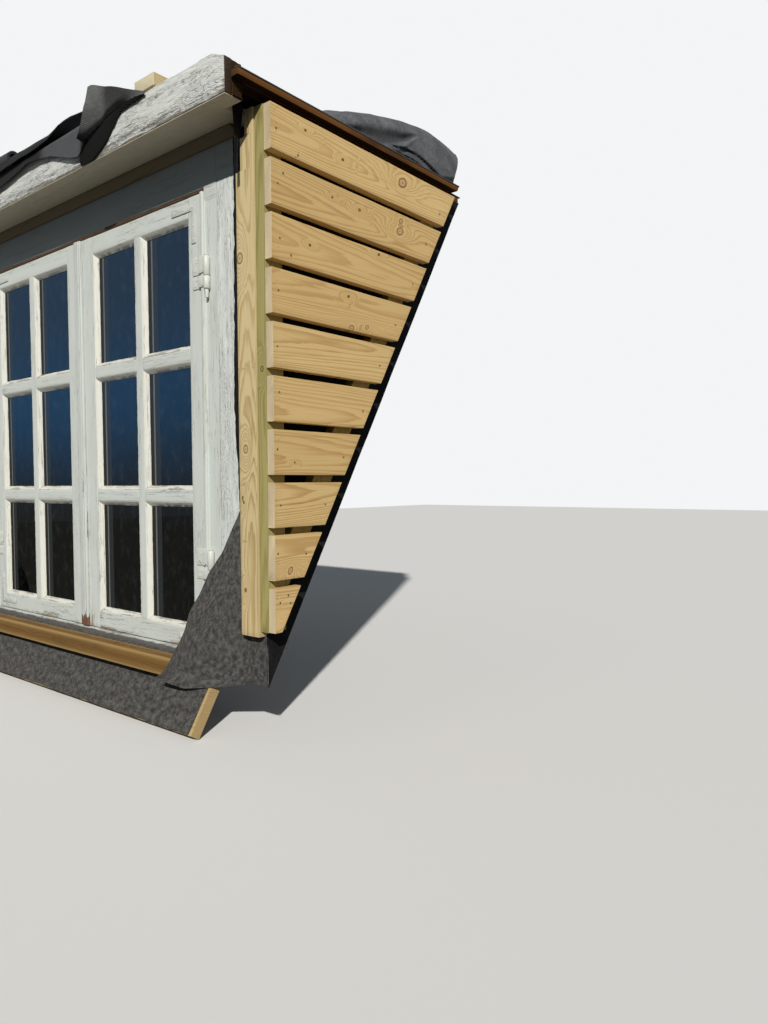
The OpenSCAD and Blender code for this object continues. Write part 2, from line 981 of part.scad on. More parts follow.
// Loose grey flap that comes out behind the corner lath and hangs over the batten's end
module membrane_flap(right) {
    t = grey_membrane;
    x0 = x_lath - clearance;
    turn = atan2(y_wrap - y_batten + 2 * clearance, x0 - x_batten_end);
    z_roof = roof_height(y_wrap) + over;
    w = flap_width;
    h = flap_height;
    z_foot = z_roof - 0.05 * h;
    color(grey_felt)
        on_side(right) {
            translate([x0, y_wrap - t / 2, z_foot])
                rotate([0, 0, turn])
                    front_view(-t, 0)
                        polygon([
                            [0, h],
                            [-0.25 * w, 0.72 * h],
                            [-0.41 * w, 0.59 * h],
                            [-0.61 * w, 0.42 * h],
                            [-0.84 * w, 0.2 * h],
                            [-w, 0.04 * h],
                            [-0.69 * w, 0],
                            [-0.33 * w, 0.02 * h],
                            [0, 0.05 * h]
                        ]);
            box([x0 - t, y_wrap - t, z_roof + over], [x_membrane, y_wrap, z_lath - clearance]);
        }
}

cheek_boards(false);  // cheek_boards_left
cheek_boards(true);  // cheek_boards_right
corner_battens();
slope_battens();
cheek_membranes();
cheek_sheathing();
corner_posts();
cheek_studs();
top_plates();
sole_plates();
cheek_lining(false);  // cheek_lining_left
cheek_lining(true);  // cheek_lining_right
header_beam();
roof_beams();
roof_ledger();
roof_deck();
ceiling_lining();
roof_felt();
rear_membrane();
pine_block();
front_fascia();
fascia_backing();
soffit_board();
bed_mould();
frieze_board();
casing(false);  // casing_left
casing(true);  // casing_right
frame_head();
frame_jambs();
window_sill();
window_board();
sash(false);  // sash_left
sash(true);  // sash_right
panes(false);  // panes_left
panes(true);  // panes_right
meeting_strip();
hinges();
corner_irons();
corner_lath(false);  // corner_lath_left
corner_lath(true);  // corner_lath_right
corner_felt();
front_sole_plate();
apron_membrane();
sill_batten();
membrane_flap(false);  // membrane_flap_left
membrane_flap(true);  // membrane_flap_right
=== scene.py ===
"""Looks of the dormer window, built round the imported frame. Metres, X right, Y into the house, Z up."""
import math

import bmesh
import bpy
import numpy as np
from mathutils import Matrix, Vector


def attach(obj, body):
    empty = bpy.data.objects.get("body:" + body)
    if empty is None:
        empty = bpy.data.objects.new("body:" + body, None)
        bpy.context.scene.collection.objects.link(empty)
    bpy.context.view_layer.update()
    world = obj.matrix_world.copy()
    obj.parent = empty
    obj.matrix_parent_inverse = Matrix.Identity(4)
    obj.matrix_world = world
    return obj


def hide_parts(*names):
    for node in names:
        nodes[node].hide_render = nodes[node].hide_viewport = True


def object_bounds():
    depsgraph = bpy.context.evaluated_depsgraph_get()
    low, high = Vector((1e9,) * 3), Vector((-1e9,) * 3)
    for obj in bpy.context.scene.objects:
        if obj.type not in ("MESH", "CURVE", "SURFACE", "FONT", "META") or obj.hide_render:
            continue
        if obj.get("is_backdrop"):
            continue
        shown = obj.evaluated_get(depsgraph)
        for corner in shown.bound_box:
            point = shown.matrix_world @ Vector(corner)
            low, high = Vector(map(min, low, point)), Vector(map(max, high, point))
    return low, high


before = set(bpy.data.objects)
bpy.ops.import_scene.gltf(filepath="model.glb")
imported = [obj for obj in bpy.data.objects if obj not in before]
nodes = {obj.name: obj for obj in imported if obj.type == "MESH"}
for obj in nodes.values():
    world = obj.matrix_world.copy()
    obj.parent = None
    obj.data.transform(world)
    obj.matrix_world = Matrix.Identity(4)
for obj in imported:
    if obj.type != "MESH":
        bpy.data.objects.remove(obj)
cad_low, cad_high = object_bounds()

# Values repeated from part.scad
SLOPE = math.radians(59)
HALF = 0.7775
Z_FOOT, Z_TOP = 0.180, 1.256
BOARD_H, BOARD_PITCH = 0.095, 0.109
BATTEN_D = 0.063
X_BATTEN, X_MEMBRANE, X_SHEATHING = 0.7555, 0.7305, 0.7295
X_FRAME, X_SASH, X_LATH = 0.5795, 0.5245, 0.6745
Y_BOARDS, Y_LATH, Y_WRAP, Y_CASING, Y_POST = 0.015, 0.010, 0.034, 0.035, 0.057
Y_FASCIA, Y_BACKING, Y_DECK = -0.080, -0.060, -0.035
Z_SOFFIT, Z_DECK, Z_FELT, Z_FASCIA = 1.241, 1.273, 1.287, 1.328
Z_SASH_TOP, Z_SILL, Z_BATTEN = 1.141, 0.106, 0.053
Y_BATTEN, Y_BATTEN_BACK, Y_SILL = -0.035, 0.003, 0.017
X_BATTEN_END = 0.4935
X_SOFFIT = HALF - 0.075
GAP = 0.0015  # between sash and frame
SIDES = ((1, "right"), (-1, "left"))


def off_roof(z, d=0.0):
    """Depth of the line at distance d outside the roof plane, at height z."""
    return z / math.tan(SLOPE) - d / math.sin(SLOPE)


# ---------------------------------------------------------------- noise
def lattice(i, j, k, seed):
    """A fixed number from -1 to 1 for each lattice point."""
    h = ((i * 73856093) ^ (j * 19349663) ^ (k * 83492791) ^ (seed * 374761393)) & 0xFFFFFFFF
    for shift, factor in ((15, 2246822519), (13, 3266489917)):
        h ^= h >> shift
        h = (h * factor) & 0xFFFFFFFF
    return (h ^ (h >> 16)) / 2147483647.5 - 1


def noise(p, scale, seed=0, octaves=1):
    """Value noise from -1 to 1 at the points p, with scale as one number or three."""
    p = np.asarray(p, float) * np.asarray(scale, float)
    total, gain, norm = np.zeros(len(p)), 1.0, 0.0
    for o in range(octaves):
        q = p * 2.0**o
        i = np.floor(q).astype(np.int64)
        f = q - i
        f = f * f * (3 - 2 * f)
        for corner in np.ndindex(2, 2, 2):
            w = np.where(corner, f, 1 - f)
            total += gain * w[:, 0] * w[:, 1] * w[:, 2] * lattice(*(i + corner).T, seed + 17 * o)
        norm += gain
        gain *= 0.5
    return total / norm


def smooth(x, low, high):
    t = np.clip((x - low) / (high - low), 0, 1)
    return t * t * (3 - 2 * t)


def uneven(depth, scale, seed, octaves=2):
    """A push inwards by up to twice the depth."""
    return lambda v, n, at: -depth + depth * noise(v, scale, seed, octaves)


# ---------------------------------------------------------------- shapes
def outline(points, r, step):
    """A closed polygon with rounded corners: its points, outward normals and nearness to a corner.

    r is one radius or one per corner, and step the longest way between two points.
    """
    p = np.array(points, float)
    n = len(p)
    radii = [r] * n if np.isscalar(r) else list(r)
    if np.sum(p[:, 0] * np.roll(p[:, 1], -1) - np.roll(p[:, 0], -1) * p[:, 1]) < 0:
        p, radii = p[::-1], radii[::-1]
    out, corner = [], []
    for i in range(n):
        a, b, c = p[i - 1], p[i], p[(i + 1) % n]
        u, w = b - a, c - b
        lu, lw = np.linalg.norm(u), np.linalg.norm(w)
        rr = min(radii[i], 0.45 * lu, 0.45 * lw)
        s, e = b - u / lu * rr, b + w / lw * rr
        turn = abs(math.atan2(u[0] * w[1] - u[1] * w[0], u @ w))
        k = 1 if turn < 0.2 else 4 if rr > 0.003 else 2
        out += [(1 - j / k) ** 2 * s + 2 * (j / k) * (1 - j / k) * b + (j / k) ** 2 * e for j in range(k + 1)]
        corner += [turn > 0.35] * (k + 1)
        end = c - w / lw * min(radii[(i + 1) % n], 0.45 * lw)
        k = max(1, int(round(np.linalg.norm(end - e) / step)))
        out += [e + (end - e) * j / k for j in range(1, k)]
        corner += [False] * (k - 1)
    out, corner = np.array(out), np.array(corner)
    d = np.min(np.linalg.norm(out[:, None] - out[corner][None], axis=2), axis=1)
    tangent = np.roll(out, -1, axis=0) - np.roll(out, 1, axis=0)
    normal = np.stack([tangent[:, 1], -tangent[:, 0]], 1)
    normal /= np.maximum(np.linalg.norm(normal, axis=1), 1e-9)[:, None]
    return out, normal, np.exp(-d / 0.004)


def rect(a1, a2, b1, b2):
    return [(a1, b1), (a2, b1), (a2, b2), (a1, b2)]


def tube(m, k):
    """Faces of k rings of m points, closed at both ends."""
    sides = [[j * m + i, j * m + (i + 1) % m, (j + 1) * m + (i + 1) % m, (j + 1) * m + i]
             for j in range(k - 1) for i in range(m)]
    return sides + [list(range(m))[::-1], [(k - 1) * m + i for i in range(m)]]


class Shape:
    """Collects solids for one piece, with the values that its material reads at each vertex."""

    def __init__(self):
        self.v, self.f, self.n = [], [], 0
        self.at = {"wood": [], "knot": [], "edge": [], "endg": [], "bare": [], "tone": []}

    def add(self, v, faces, **at):
        n = len(v)
        self.v.append(np.asarray(v, float))
        self.f += [[i + self.n for i in f] for f in faces]
        self.n += n
        for k, store in self.at.items():
            value = at.get(k)
            if k in ("wood", "knot"):
                value = np.full((n, 3), 9.0) if value is None else value
            elif value is None or np.isscalar(value):
                value = np.full(n, float(value or 0))
            store.append(np.asarray(value, float))


def prism(shape, section, length, place, rng, step=0.02, r=0.0015, pith=(0.0, 0.08), knots=(), bare=None, tone=None,
          extra=()):
    """Runs a section along a length with rounded ends. place(a, b, t) gives x, y, z.

    knots are (along, across, radius), with the radius longer along the grain. extra are more places along it.
    """
    pts, normal, edge = section
    k = max(1, int(round((length - 2 * r) / step)))
    inner = [r + (length - 2 * r) * i / k for i in range(k + 1)]
    t = np.array([0.0, 0.3 * r, *inner, length - 0.3 * r, length, *extra])
    inset = np.array([r, 0.3 * r, *[0.0] * len(inner), 0.3 * r, r, *[0.0] * len(extra)])
    order = np.argsort(t, kind="stable")
    t, inset = t[order], inset[order]
    m, k = len(pts), len(t)
    a, b = ((pts[None, :, i] - normal[None, :, i] * inset[:, None]).ravel() for i in (0, 1))
    tt = np.repeat(t, m)
    v = np.stack([np.broadcast_to(c, a.shape) for c in place(a, b, tt)], 1)
    centre = (pts.max(0) + pts.min(0)) / 2
    shift = rng.uniform(-40, 40)
    ring = rng.uniform(-0.01, 0.01, 2)
    wood = np.stack([tt + shift, a - centre[0] - pith[0] + ring[0], b - centre[1] - pith[1] + ring[1]], 1)
    knot = np.full((len(a), 3), 9.0)
    best = np.full(len(a), 1e9)
    for place_along, across, radius in knots:
        du, dv = (tt - place_along) / (radius * 1.25), (a - centre[0] - across) / radius
        d = np.hypot(du, dv)
        near = d < best
        best[near] = d[near]
        knot[near] = np.stack([du, dv, np.full(len(a), radius)], 1)[near]
    ends = np.minimum(tt, length - tt)
    shape.add(v, tube(m, k), wood=wood, knot=knot, edge=np.maximum(np.tile(edge, k), np.exp(-ends / 0.004)),
              endg=(ends < 0.5 * r).astype(float), bare=bare and bare(v),
              tone=rng.uniform(0, 1) if tone is None else tone)


def along(axis, base):
    """place() for a prism along one axis: a and b are the two others in order X, Y, Z."""
    if axis == "x":
        return lambda a, b, t: (base + t, a, b)
    if axis == "y":
        return lambda a, b, t: (a, base + t, b)
    return lambda a, b, t: (a, b, base + t)


def beam(shape, axis, start, end, points, r, grid, step, r_end=0.0015, **more):
    """A straight piece of timber of the section in points, from start to end on one axis."""
    prism(shape, outline(points, r=r, step=grid), end - start, along(axis, start), rng, step=step, r=r_end, **more)


def turned(shape, at, rows, axis, sign=1, k=20, edge=0.0):
    """A turned solid about a line along one axis, from rows of height and radius."""
    a = 2 * math.pi * np.arange(k) / k
    v = []
    for height, radius in rows:
        ring = [radius * np.cos(a), radius * np.sin(a)]
        ring.insert(axis, np.full(k, sign * height))
        v.append(np.stack(ring, 1) + at)
    shape.add(np.concatenate(v), tube(k, len(rows)), edge=edge)


def piece(name, shape, material, replaced=(), push=None, angle=35):
    """Makes one object of a shape's solids, with its faces turned outwards.

    push(points, normals, values) gives how far each vertex moves along its normal.
    """
    mesh = bpy.data.meshes.new(name)
    v = np.concatenate(shape.v)
    mesh.from_pydata(v.tolist(), [], shape.f)
    obj = bpy.data.objects.new(name, mesh)
    bpy.context.scene.collection.objects.link(obj)
    bm = bmesh.new()
    bm.from_mesh(mesh)
    bmesh.ops.recalc_face_normals(bm, faces=bm.faces)
    bm.to_mesh(mesh)
    bm.free()
    mesh.update()
    values = {k: np.concatenate(s) for k, s in shape.at.items()}
    if push is not None:
        normal = np.zeros(len(v) * 3)
        mesh.vertices.foreach_get("normal", normal)
        normal = normal.reshape(-1, 3)
        v = v + normal * push(v, normal, values)[:, None]
        mesh.vertices.foreach_set("co", v.ravel())
        mesh.update()
    for key, value in values.items():
        kind, field = ("FLOAT_VECTOR", "vector") if value.ndim == 2 else ("FLOAT", "value")
        mesh.attributes.new(key, kind, "POINT").data.foreach_set(field, value.ravel())
    mesh.polygons.foreach_set("use_smooth", [True] * len(mesh.polygons))
    mesh.set_sharp_from_angle(angle=math.radians(angle))
    mesh.materials.append(material)
    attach(obj, "root")
    if replaced:
        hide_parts(*replaced)
    return obj


# ---------------------------------------------------------------- materials
class Val:
    """A node's output, which adds and multiplies like a number."""

    def __init__(self, mat, socket):
        self.mat, self.socket = mat, socket

    def __add__(self, other):
        return self.mat.math("ADD", self, other)

    def __sub__(self, number):
        return self.mat.math("ADD", self, -number)

    def __mul__(self, other):
        return self.mat.math("MULTIPLY", self, other)


class Mat:
    """The cleared node tree of a material or world, with short calls for its nodes."""
    SOCKETS = {"rough": "Roughness", "normal": "Normal", "spec": "Specular IOR Level", "metal": "Metallic",
               "sheen": "Sheen Weight", "sheen_rough": "Sheen Roughness"}

    def __init__(self, name, owner=None):
        self.owner = owner or bpy.data.materials.new(name)
        self.owner.use_nodes = True
        self.t = self.owner.node_tree
        self.t.nodes.clear()
        self.color = None

    def node(self, kind, *values, out=0, named=(), **settings):
        """Makes a node, fills its inputs in order and by name, and returns one output, or all of them for None."""
        n = self.t.nodes.new("ShaderNode" + kind)
        for key, value in settings.items():
            setattr(n, key, value)
        for key, value in [*enumerate(values), *dict(named).items()]:
            socket = n.inputs[key]
            if isinstance(value, Val):
                self.t.links.new(value.socket, socket)
            else:
                socket.default_value = (*value, 1) if socket.type == "RGBA" else value
        return [Val(self, s) for s in n.outputs] if out is None else Val(self, n.outputs[out])

    def done(self, shader):
        self.node("OutputWorld" if isinstance(self.owner, bpy.types.World) else "OutputMaterial", shader, out=None)
        return self.owner

    def principled(self, **values):
        """Ends the material with the colour laid so far."""
        named = {self.SOCKETS[k]: v for k, v in values.items()}
        return self.done(self.node("BsdfPrincipled", named={"Base Color": self.color, **named}))

    def attr(self, name, out="Fac"):
        return self.node("Attribute", attribute_name=name, out=out)

    def coords(self):
        return self.node("TexCoord", out="Object")

    def grain(self, axis, shift=(0.0, 0.0)):
        """Coordinates along and across the grain. axis names its direction where the piece carries none."""
        if axis is None:
            return self.attr("wood", "Vector")
        x, y, z = self.split(self.coords())
        a, b, c = {"x": (x, y, z), "y": (y, z, x), "z": (z, x, y)}[axis]
        return self.join(a, b + shift[0], c + shift[1])

    def math(self, op, a, b=0.0, clamp=False):
        return self.node("Math", a, b, operation=op, use_clamp=clamp)

    def clamped(self, a, b):
        return self.math("MULTIPLY", a, b, True)

    def bell(self, x, sharp):
        return self.math("EXPONENT", x * x * -sharp)

    def vec(self, op, a, b):
        return self.node("VectorMath", a, b, operation=op)

    def split(self, v):
        return self.node("SeparateXYZ", v, out=None)

    def join(self, x, y, z):
        return self.node("CombineXYZ", x, y, z)

    def noise(self, co, x, y=None, z=None, detail=3.0, rough=0.55, distort=0.0):
        """Noise with so many waves a metre in x, y and z. y repeats x, and z repeats y, where they are left out."""
        y = x if y is None else y
        named = {"Vector": self.vec("MULTIPLY", co, (x, y, y if z is None else z)), "Scale": 1.0, "Detail": detail,
                 "Roughness": rough, "Distortion": distort}
        return self.node("TexNoise", named=named, out="Fac")

    def cells(self, co, scale, feature="F1", out="Distance"):
        named = {"Vector": self.vec("MULTIPLY", co, scale), "Scale": 1.0}
        return self.node("TexVoronoi", named=named, out=out, feature=feature)

    def ramp(self, x, low, high, to_low=0.0, to_high=1.0, kind="SMOOTHSTEP"):
        return self.node("MapRange", x, low, high, to_low, to_high, interpolation_type=kind, clamp=True)

    def mix(self, fac, a, b):
        return self.node("Mix", named={0: fac, 6: a, 7: b}, out=2, data_type="RGBA")

    def lay(self, fac, color):
        """Lays a colour over the material's colour so far."""
        self.color = self.mix(fac, self.color, color)

    def bump(self, height, distance, strength):
        return self.node("Bump", named={"Strength": strength, "Distance": distance, "Height": height})


def shade(color, k):
    return tuple(c * k for c in color)


def wood_mat(name, early, late, knot, axis=None, ring=0.0042, contrast=0.75, end=(0.62, 0.55, 0.42), rough=0.62,
             stain=None, grime=0.0, spec=0.22, painted_underside_shade=None, rim=None):
    """New or old softwood. Faces that look down can be given a colour as painted shade, and rim is the colour of rubbed
    edges.
    """
    m = Mat(name)
    co = m.grain(axis, (0.031, 0.07))
    x, y, z = m.split(co)
    warp, fine = m.noise(co, 1.1, 9, detail=2.0), m.noise(co, 4, 110)
    radius = m.math("SQRT", y * y + z * z) + (warp - 0.5) * 0.030 + (fine - 0.5) * 0.0030 + x * 0.018
    kx, ky, kz = m.split(m.attr("knot", "Vector")) if axis is None else (9.0, 9.0, 0.0)
    kd = m.math("SQRT", kx * kx + ky * ky) + (m.noise(co, 90, detail=1.5) - 0.5) * 0.35
    side = m.math("SQRT", kx * 0.45 * (kx * 0.45) + ky * ky)
    count = m.math("DIVIDE", radius + m.bell(side, 0.22) * 0.022, ring)
    phase = m.math("FRACT", count + m.noise(m.join(count, 0.0, 0.0), 0.7, 1, detail=1) * 1.2)
    late_fac = m.ramp(phase, 0.42, 0.90) * m.ramp(phase, 1.0, 0.95)
    fibre = m.noise(co, 14, 1100, detail=2.0, rough=0.6)
    streak = m.noise(co, 3.0, 70)
    m.color = m.mix(m.clamped(late_fac, streak * 0.9 + (contrast - 0.45)), early, late)
    m.lay(m.ramp(fibre, 0.3, 0.75, 0.0, 0.24), shade(late, 0.75))
    resin = m.noise(co, 2.6, 330, rough=0.5)
    m.lay(m.ramp(resin, 0.635, 0.70) * m.ramp(streak, 0.42, 0.62, 0.15, 0.62), shade(late, 0.62))
    m.lay(m.ramp(m.noise(co, 3.4, 420, detail=2), 0.60, 0.74, 0.0, 0.35), shade(early, 1.18))
    m.lay(m.ramp(m.noise(co, 1.1, 7, detail=2.0), 0.35, 0.7, 0.0, 0.22), shade(early, 1.12))
    m.lay(m.ramp(m.attr("tone"), 0, 1, 0.0, 0.22), shade(late, 1.05))
    inside = m.ramp(kd, 1.06, 0.90)
    tan = tuple(0.62 * e + 0.38 * k for e, k in zip(early, knot))
    heart = m.mix(m.ramp(m.math("FRACT", kd * 3.6), 0.35, 0.95) * 0.7, tan, shade(tan, 0.62))
    heart = m.mix(m.ramp(kd, 0.60, 0.98), heart, shade(knot, 0.55))
    heart = m.mix(m.ramp(kd, 0.30, 0.08) * 0.8, heart, shade(knot, 0.55))
    heart = m.mix(m.ramp(kz, 0.0052, 0.0034), heart, shade(knot, 0.40))
    m.lay(m.bell(kd, 0.35) * 0.30, shade(late, 0.9))
    m.lay(m.bell(kd - 1.45, 14.0) * 0.40, shade(early, 1.12))
    m.lay(inside, heart)
    m.lay(m.bell(kd - 1.0, 110.0) * 0.80, shade(knot, 0.30))
    endg, end_rough = m.attr("endg"), m.noise(co, 600)
    ends = m.mix(late_fac * 0.26, end, shade(end, 0.62))
    m.lay(endg, m.mix(m.ramp(end_rough, 0.35, 0.7, 0, 0.28), ends, shade(end, 0.6)))
    if stain:
        m.lay(m.ramp(m.noise(co, 2.2, 9, detail=5, rough=0.65), 0.50, 0.728), stain)
    if grime:
        m.lay(m.ramp(m.noise(co, 30, 160, detail=4, rough=0.7), 0.66, 0.80, 0, grime), shade(late, 0.25))
    m.lay(m.attr("edge") * (0.75 if rim else 0.16), rim or shade(late, 0.7))
    # Painted shade: faces that look down are drawn towards a near-black colour
    if painted_underside_shade:
        m.lay(m.ramp(m.split(m.node("NewGeometry", out="Normal"))[2], -0.3, -0.7), painted_underside_shade)
    height = fibre * 0.30 + (late_fac * 0.30 + endg * end_rough * 1.2) + inside * 0.35
    return m.principled(rough=m.ramp(late_fac, 0, 1, rough + 0.06, rough - 0.10), spec=spec,
                        normal=m.bump(height, 0.0006, 0.7))


def paint_mat(name, white, under, under2, shares, flake, axis=None, deep=0.5, end=None, strokes=0.0, wear_and_light=None,
              plates=None, spec=0.3):
    """Old oil paint on softwood: flakes that came off along the grain, hair cracks, raised grain and grime.

    under and under2 are the colours of the wood where the paint is gone, and shares those of peeling, cracks, grain and
    dirt. flake is the flakes' number per metre along and across the grain, and plates that of crazed plates with their
    strength. A front
    colour fades out between two depths: a painted highlight by the fascia on the soffit, a dark band at the sill's
    front; end is the colour of end grain.
    """
    m = Mat(name)
    peel, crack, grain, dirt = shares
    co = m.grain(axis)
    bare, edge = m.attr("bare"), m.attr("edge")
    patchy = m.noise(co, *flake, detail=6, rough=0.62, distort=0.3)
    small = m.noise(co, flake[0] * 7, flake[1] * 6, detail=4, rough=0.65)
    field = patchy * 0.72 + small * 0.36 + bare * 0.42 + edge * 0.07
    low = 0.80 - 0.22 * peel
    gone = m.ramp(field, low, low + 0.022)
    rim = m.ramp(field, low - 0.045, low - 0.004) * (gone * -1.0 + 1.0)
    where = m.noise(co, 3, 30, detail=2)
    hair = m.ramp(m.math("ABSOLUTE", m.noise(co, 5, 210, rough=0.5) - 0.5), 0.012, 0.0)
    hair = hair * m.ramp(where, 0.56 - 0.16 * crack, 0.72 - 0.16 * crack)
    across = m.ramp(m.math("ABSOLUTE", m.noise(co, 140, 40, detail=2) - 0.5), 0.006, 0.0) * m.ramp(where, 0.60, 0.75)
    fibre = m.noise(co, 9, 480, rough=0.6)
    ridges = m.noise(co, 3, 150, detail=4, rough=0.6)
    grimy = m.noise(co, 6, 30, detail=5, rough=0.65)
    m.color = m.mix(m.ramp(grimy, 0.40, 0.72, 0, 0.55 * dirt), white, shade(under, 1.5))
    m.lay(m.ramp(ridges, 0.30, 0.62, 0.20 * grain, 0.0), shade(white, 0.66))
    m.lay(m.ramp(small, 0.35, 0.8, 0.0, 0.18), shade(white, 1.10))
    m.lay(edge * (0.25 * dirt), shade(under, 1.1))
    m.lay(rim * 0.55, shade(white, 0.48))
    m.lay(hair * (0.85 * min(1.0, crack + 0.2)), shade(under, 0.45))
    m.lay(across * (0.5 * crack), shade(under, 0.5))
    wood = m.mix(m.ramp(fibre, 0.3, 0.7), under2, under)
    m.lay(gone, m.mix(m.ramp(small, 0.35, 0.65, 0, 0.6), wood, shade(under, 1.35)))
    height = gone * (-0.9 * deep) + rim * 0.25
    if strokes:
        spread = m.noise(co, 2.4, 16) + bare * 0.45
        dash = m.ramp(m.noise(co, 26, 400, detail=2, rough=0.5), 0.625, 0.67)
        dash = dash * m.ramp(spread, 0.50, 0.66, 0.10 * strokes, 1.0)
        m.lay(m.clamped(dash, 0.9 * strokes), shade(under, 0.40))
        chips = m.noise(co, 60, 260, detail=2, rough=0.6)
        m.lay(m.clamped(m.ramp(chips, 0.60, 0.72), 0.5 * strokes), shade(white, 0.72))
        height = height + (dash * -0.7 + chips * (0.45 * strokes))
    if plates:
        *size, amount = plates
        bend = [(m.noise(co, a, b, detail=2) - 0.5) * c for a, b, c in ((30, 90, 0.022), (22, 60, 0.006))]
        bent = m.vec("ADD", co, m.join(*bend, 0.0))
        gap = m.ramp(m.cells(bent, size, "DISTANCE_TO_EDGE"), 0.075, 0.02)
        gap = m.clamped(gap, m.ramp(m.noise(co, 9, 40) + bare * 0.6, 0.47, 0.60)) * amount
        level = m.split(m.cells(bent, size, out="Color"))[0]
        m.lay(m.ramp(level, 0.2, 1.0) * (0.30 * amount), shade(white, 0.74))
        m.lay(gap, shade(under, 0.42))
        height = height + (gap * -1.6 + level * (0.9 * amount))
    if wear_and_light:
        depth = m.split(m.coords())[1] + (m.noise(co, 40, 60, detail=4) - 0.5) * 0.012
        m.lay(m.ramp(depth, *wear_and_light[1:], 1.0, 0.0), m.mix(small, shade(wear_and_light[0], 0.7), shade(wear_and_light[0], 1.3)))
    if end:
        m.lay(m.attr("endg"), m.mix(m.ramp(small, 0.3, 0.7), shade(end, 0.5), shade(end, 1.5)))
    height = height + ridges * (0.9 * grain) + fibre * (0.25 * grain) + (hair * -0.6 + across * -0.35)
    return m.principled(rough=m.ramp(gone, 0, 1, 0.5, 0.85), spec=spec, normal=m.bump(height, 0.0012, 0.8))


def cloth_mat(name, dark, light, specks=0.0, rib=None, cloud=22.0, contrast=1.0, hair=0.35, sheen=0.04):
    """Mottled non-woven membrane, or ribbed felt where rib gives the ribs' directions and numbers per metre."""
    m = Mat(name)
    co = m.attr("wood", "Vector")
    big = m.noise(co, cloud, detail=5, rough=0.62)
    mid = m.noise(co, 110, detail=4, rough=0.7)
    fluff = m.noise(co, 900, rough=0.7)
    hairs = m.noise(m.vec("ADD", co, m.join(mid * 0.02, 0.0, 0.0)), 720, 108, 180, detail=2)
    mask = big * 0.55 + (mid * 0.45 + fluff * 0.25)
    m.color = m.mix(m.ramp(mask, 0.50, 0.82, 0, contrast), dark, light)
    m.lay(m.ramp(hairs, 0.57, 0.74, 0, hair), shade(light, 1.45))
    height = fluff * 0.5 + mid * 0.6
    if rib:
        x, y, z = m.split(co)
        wave = m.math("SINE", (x * rib[0] + y * rib[1]) * 6.2832)
        cross = m.math("SINE", (x * (rib[1] * 0.6) + y * (-rib[0] * 0.6)) * 6.2832)
        m.lay(m.ramp(wave, -1, 1, 0.0, 0.35), shade(light, 1.15))
        m.lay(m.ramp(cross, 0.3, 1, 0.0, 0.12), shade(dark, 0.6))
        height = height + (wave * 0.8 + cross * 0.25)
    if specks:
        dot = m.ramp(m.cells(co, (300, 120, 300)), 0.16, 0.08)
        m.lay(dot * m.ramp(m.noise(co, 16), 0.62 - 0.14 * specks, 0.74) * 0.8, (0.55, 0.50, 0.38))
    # Painted shade: parts of the sheets that lie in shade are drawn towards black, by the darkness each patch carries
    m.lay(m.attr("bare") * 0.97, (0.006, 0.006, 0.006))
    return m.principled(rough=0.85, spec=0.05, sheen=sheen, sheen_rough=0.6, normal=m.bump(height, 0.0008, 0.55))


def steel_mat():
    """White paint on steel, rusty in patches and at edges."""
    m = Mat("painted_steel")
    co = m.coords()
    patchy, fine = m.noise(co, 70, detail=5, rough=0.65), m.noise(co, 500)
    rust = m.ramp(patchy + m.attr("edge") * 0.10, 0.68, 0.74)
    m.color = m.mix(m.ramp(fine, 0.35, 0.7, 0, 0.3), (0.62, 0.65, 0.60), (0.45, 0.45, 0.40))
    m.lay(rust, m.mix(fine, (0.16, 0.07, 0.03), (0.30, 0.18, 0.10)))
    return m.principled(rough=m.ramp(rust, 0, 1, 0.42, 0.8), spec=0.45,
                        normal=m.bump(patchy * 0.5 + rust * -0.5, 0.0008, 0.6))


def nail_mat():
    m = Mat("nail_steel")
    fine = m.noise(m.coords(), 900, detail=2)
    m.color = m.mix(fine, (0.075, 0.064, 0.052), (0.17, 0.145, 0.115))
    return m.principled(rough=0.5, metal=0.35, normal=m.bump(fine, 0.0004, 0.5))


# Left edges of the visible glass
PANE_EDGES = (-0.468, -0.24875, 0.0775, 0.29675)


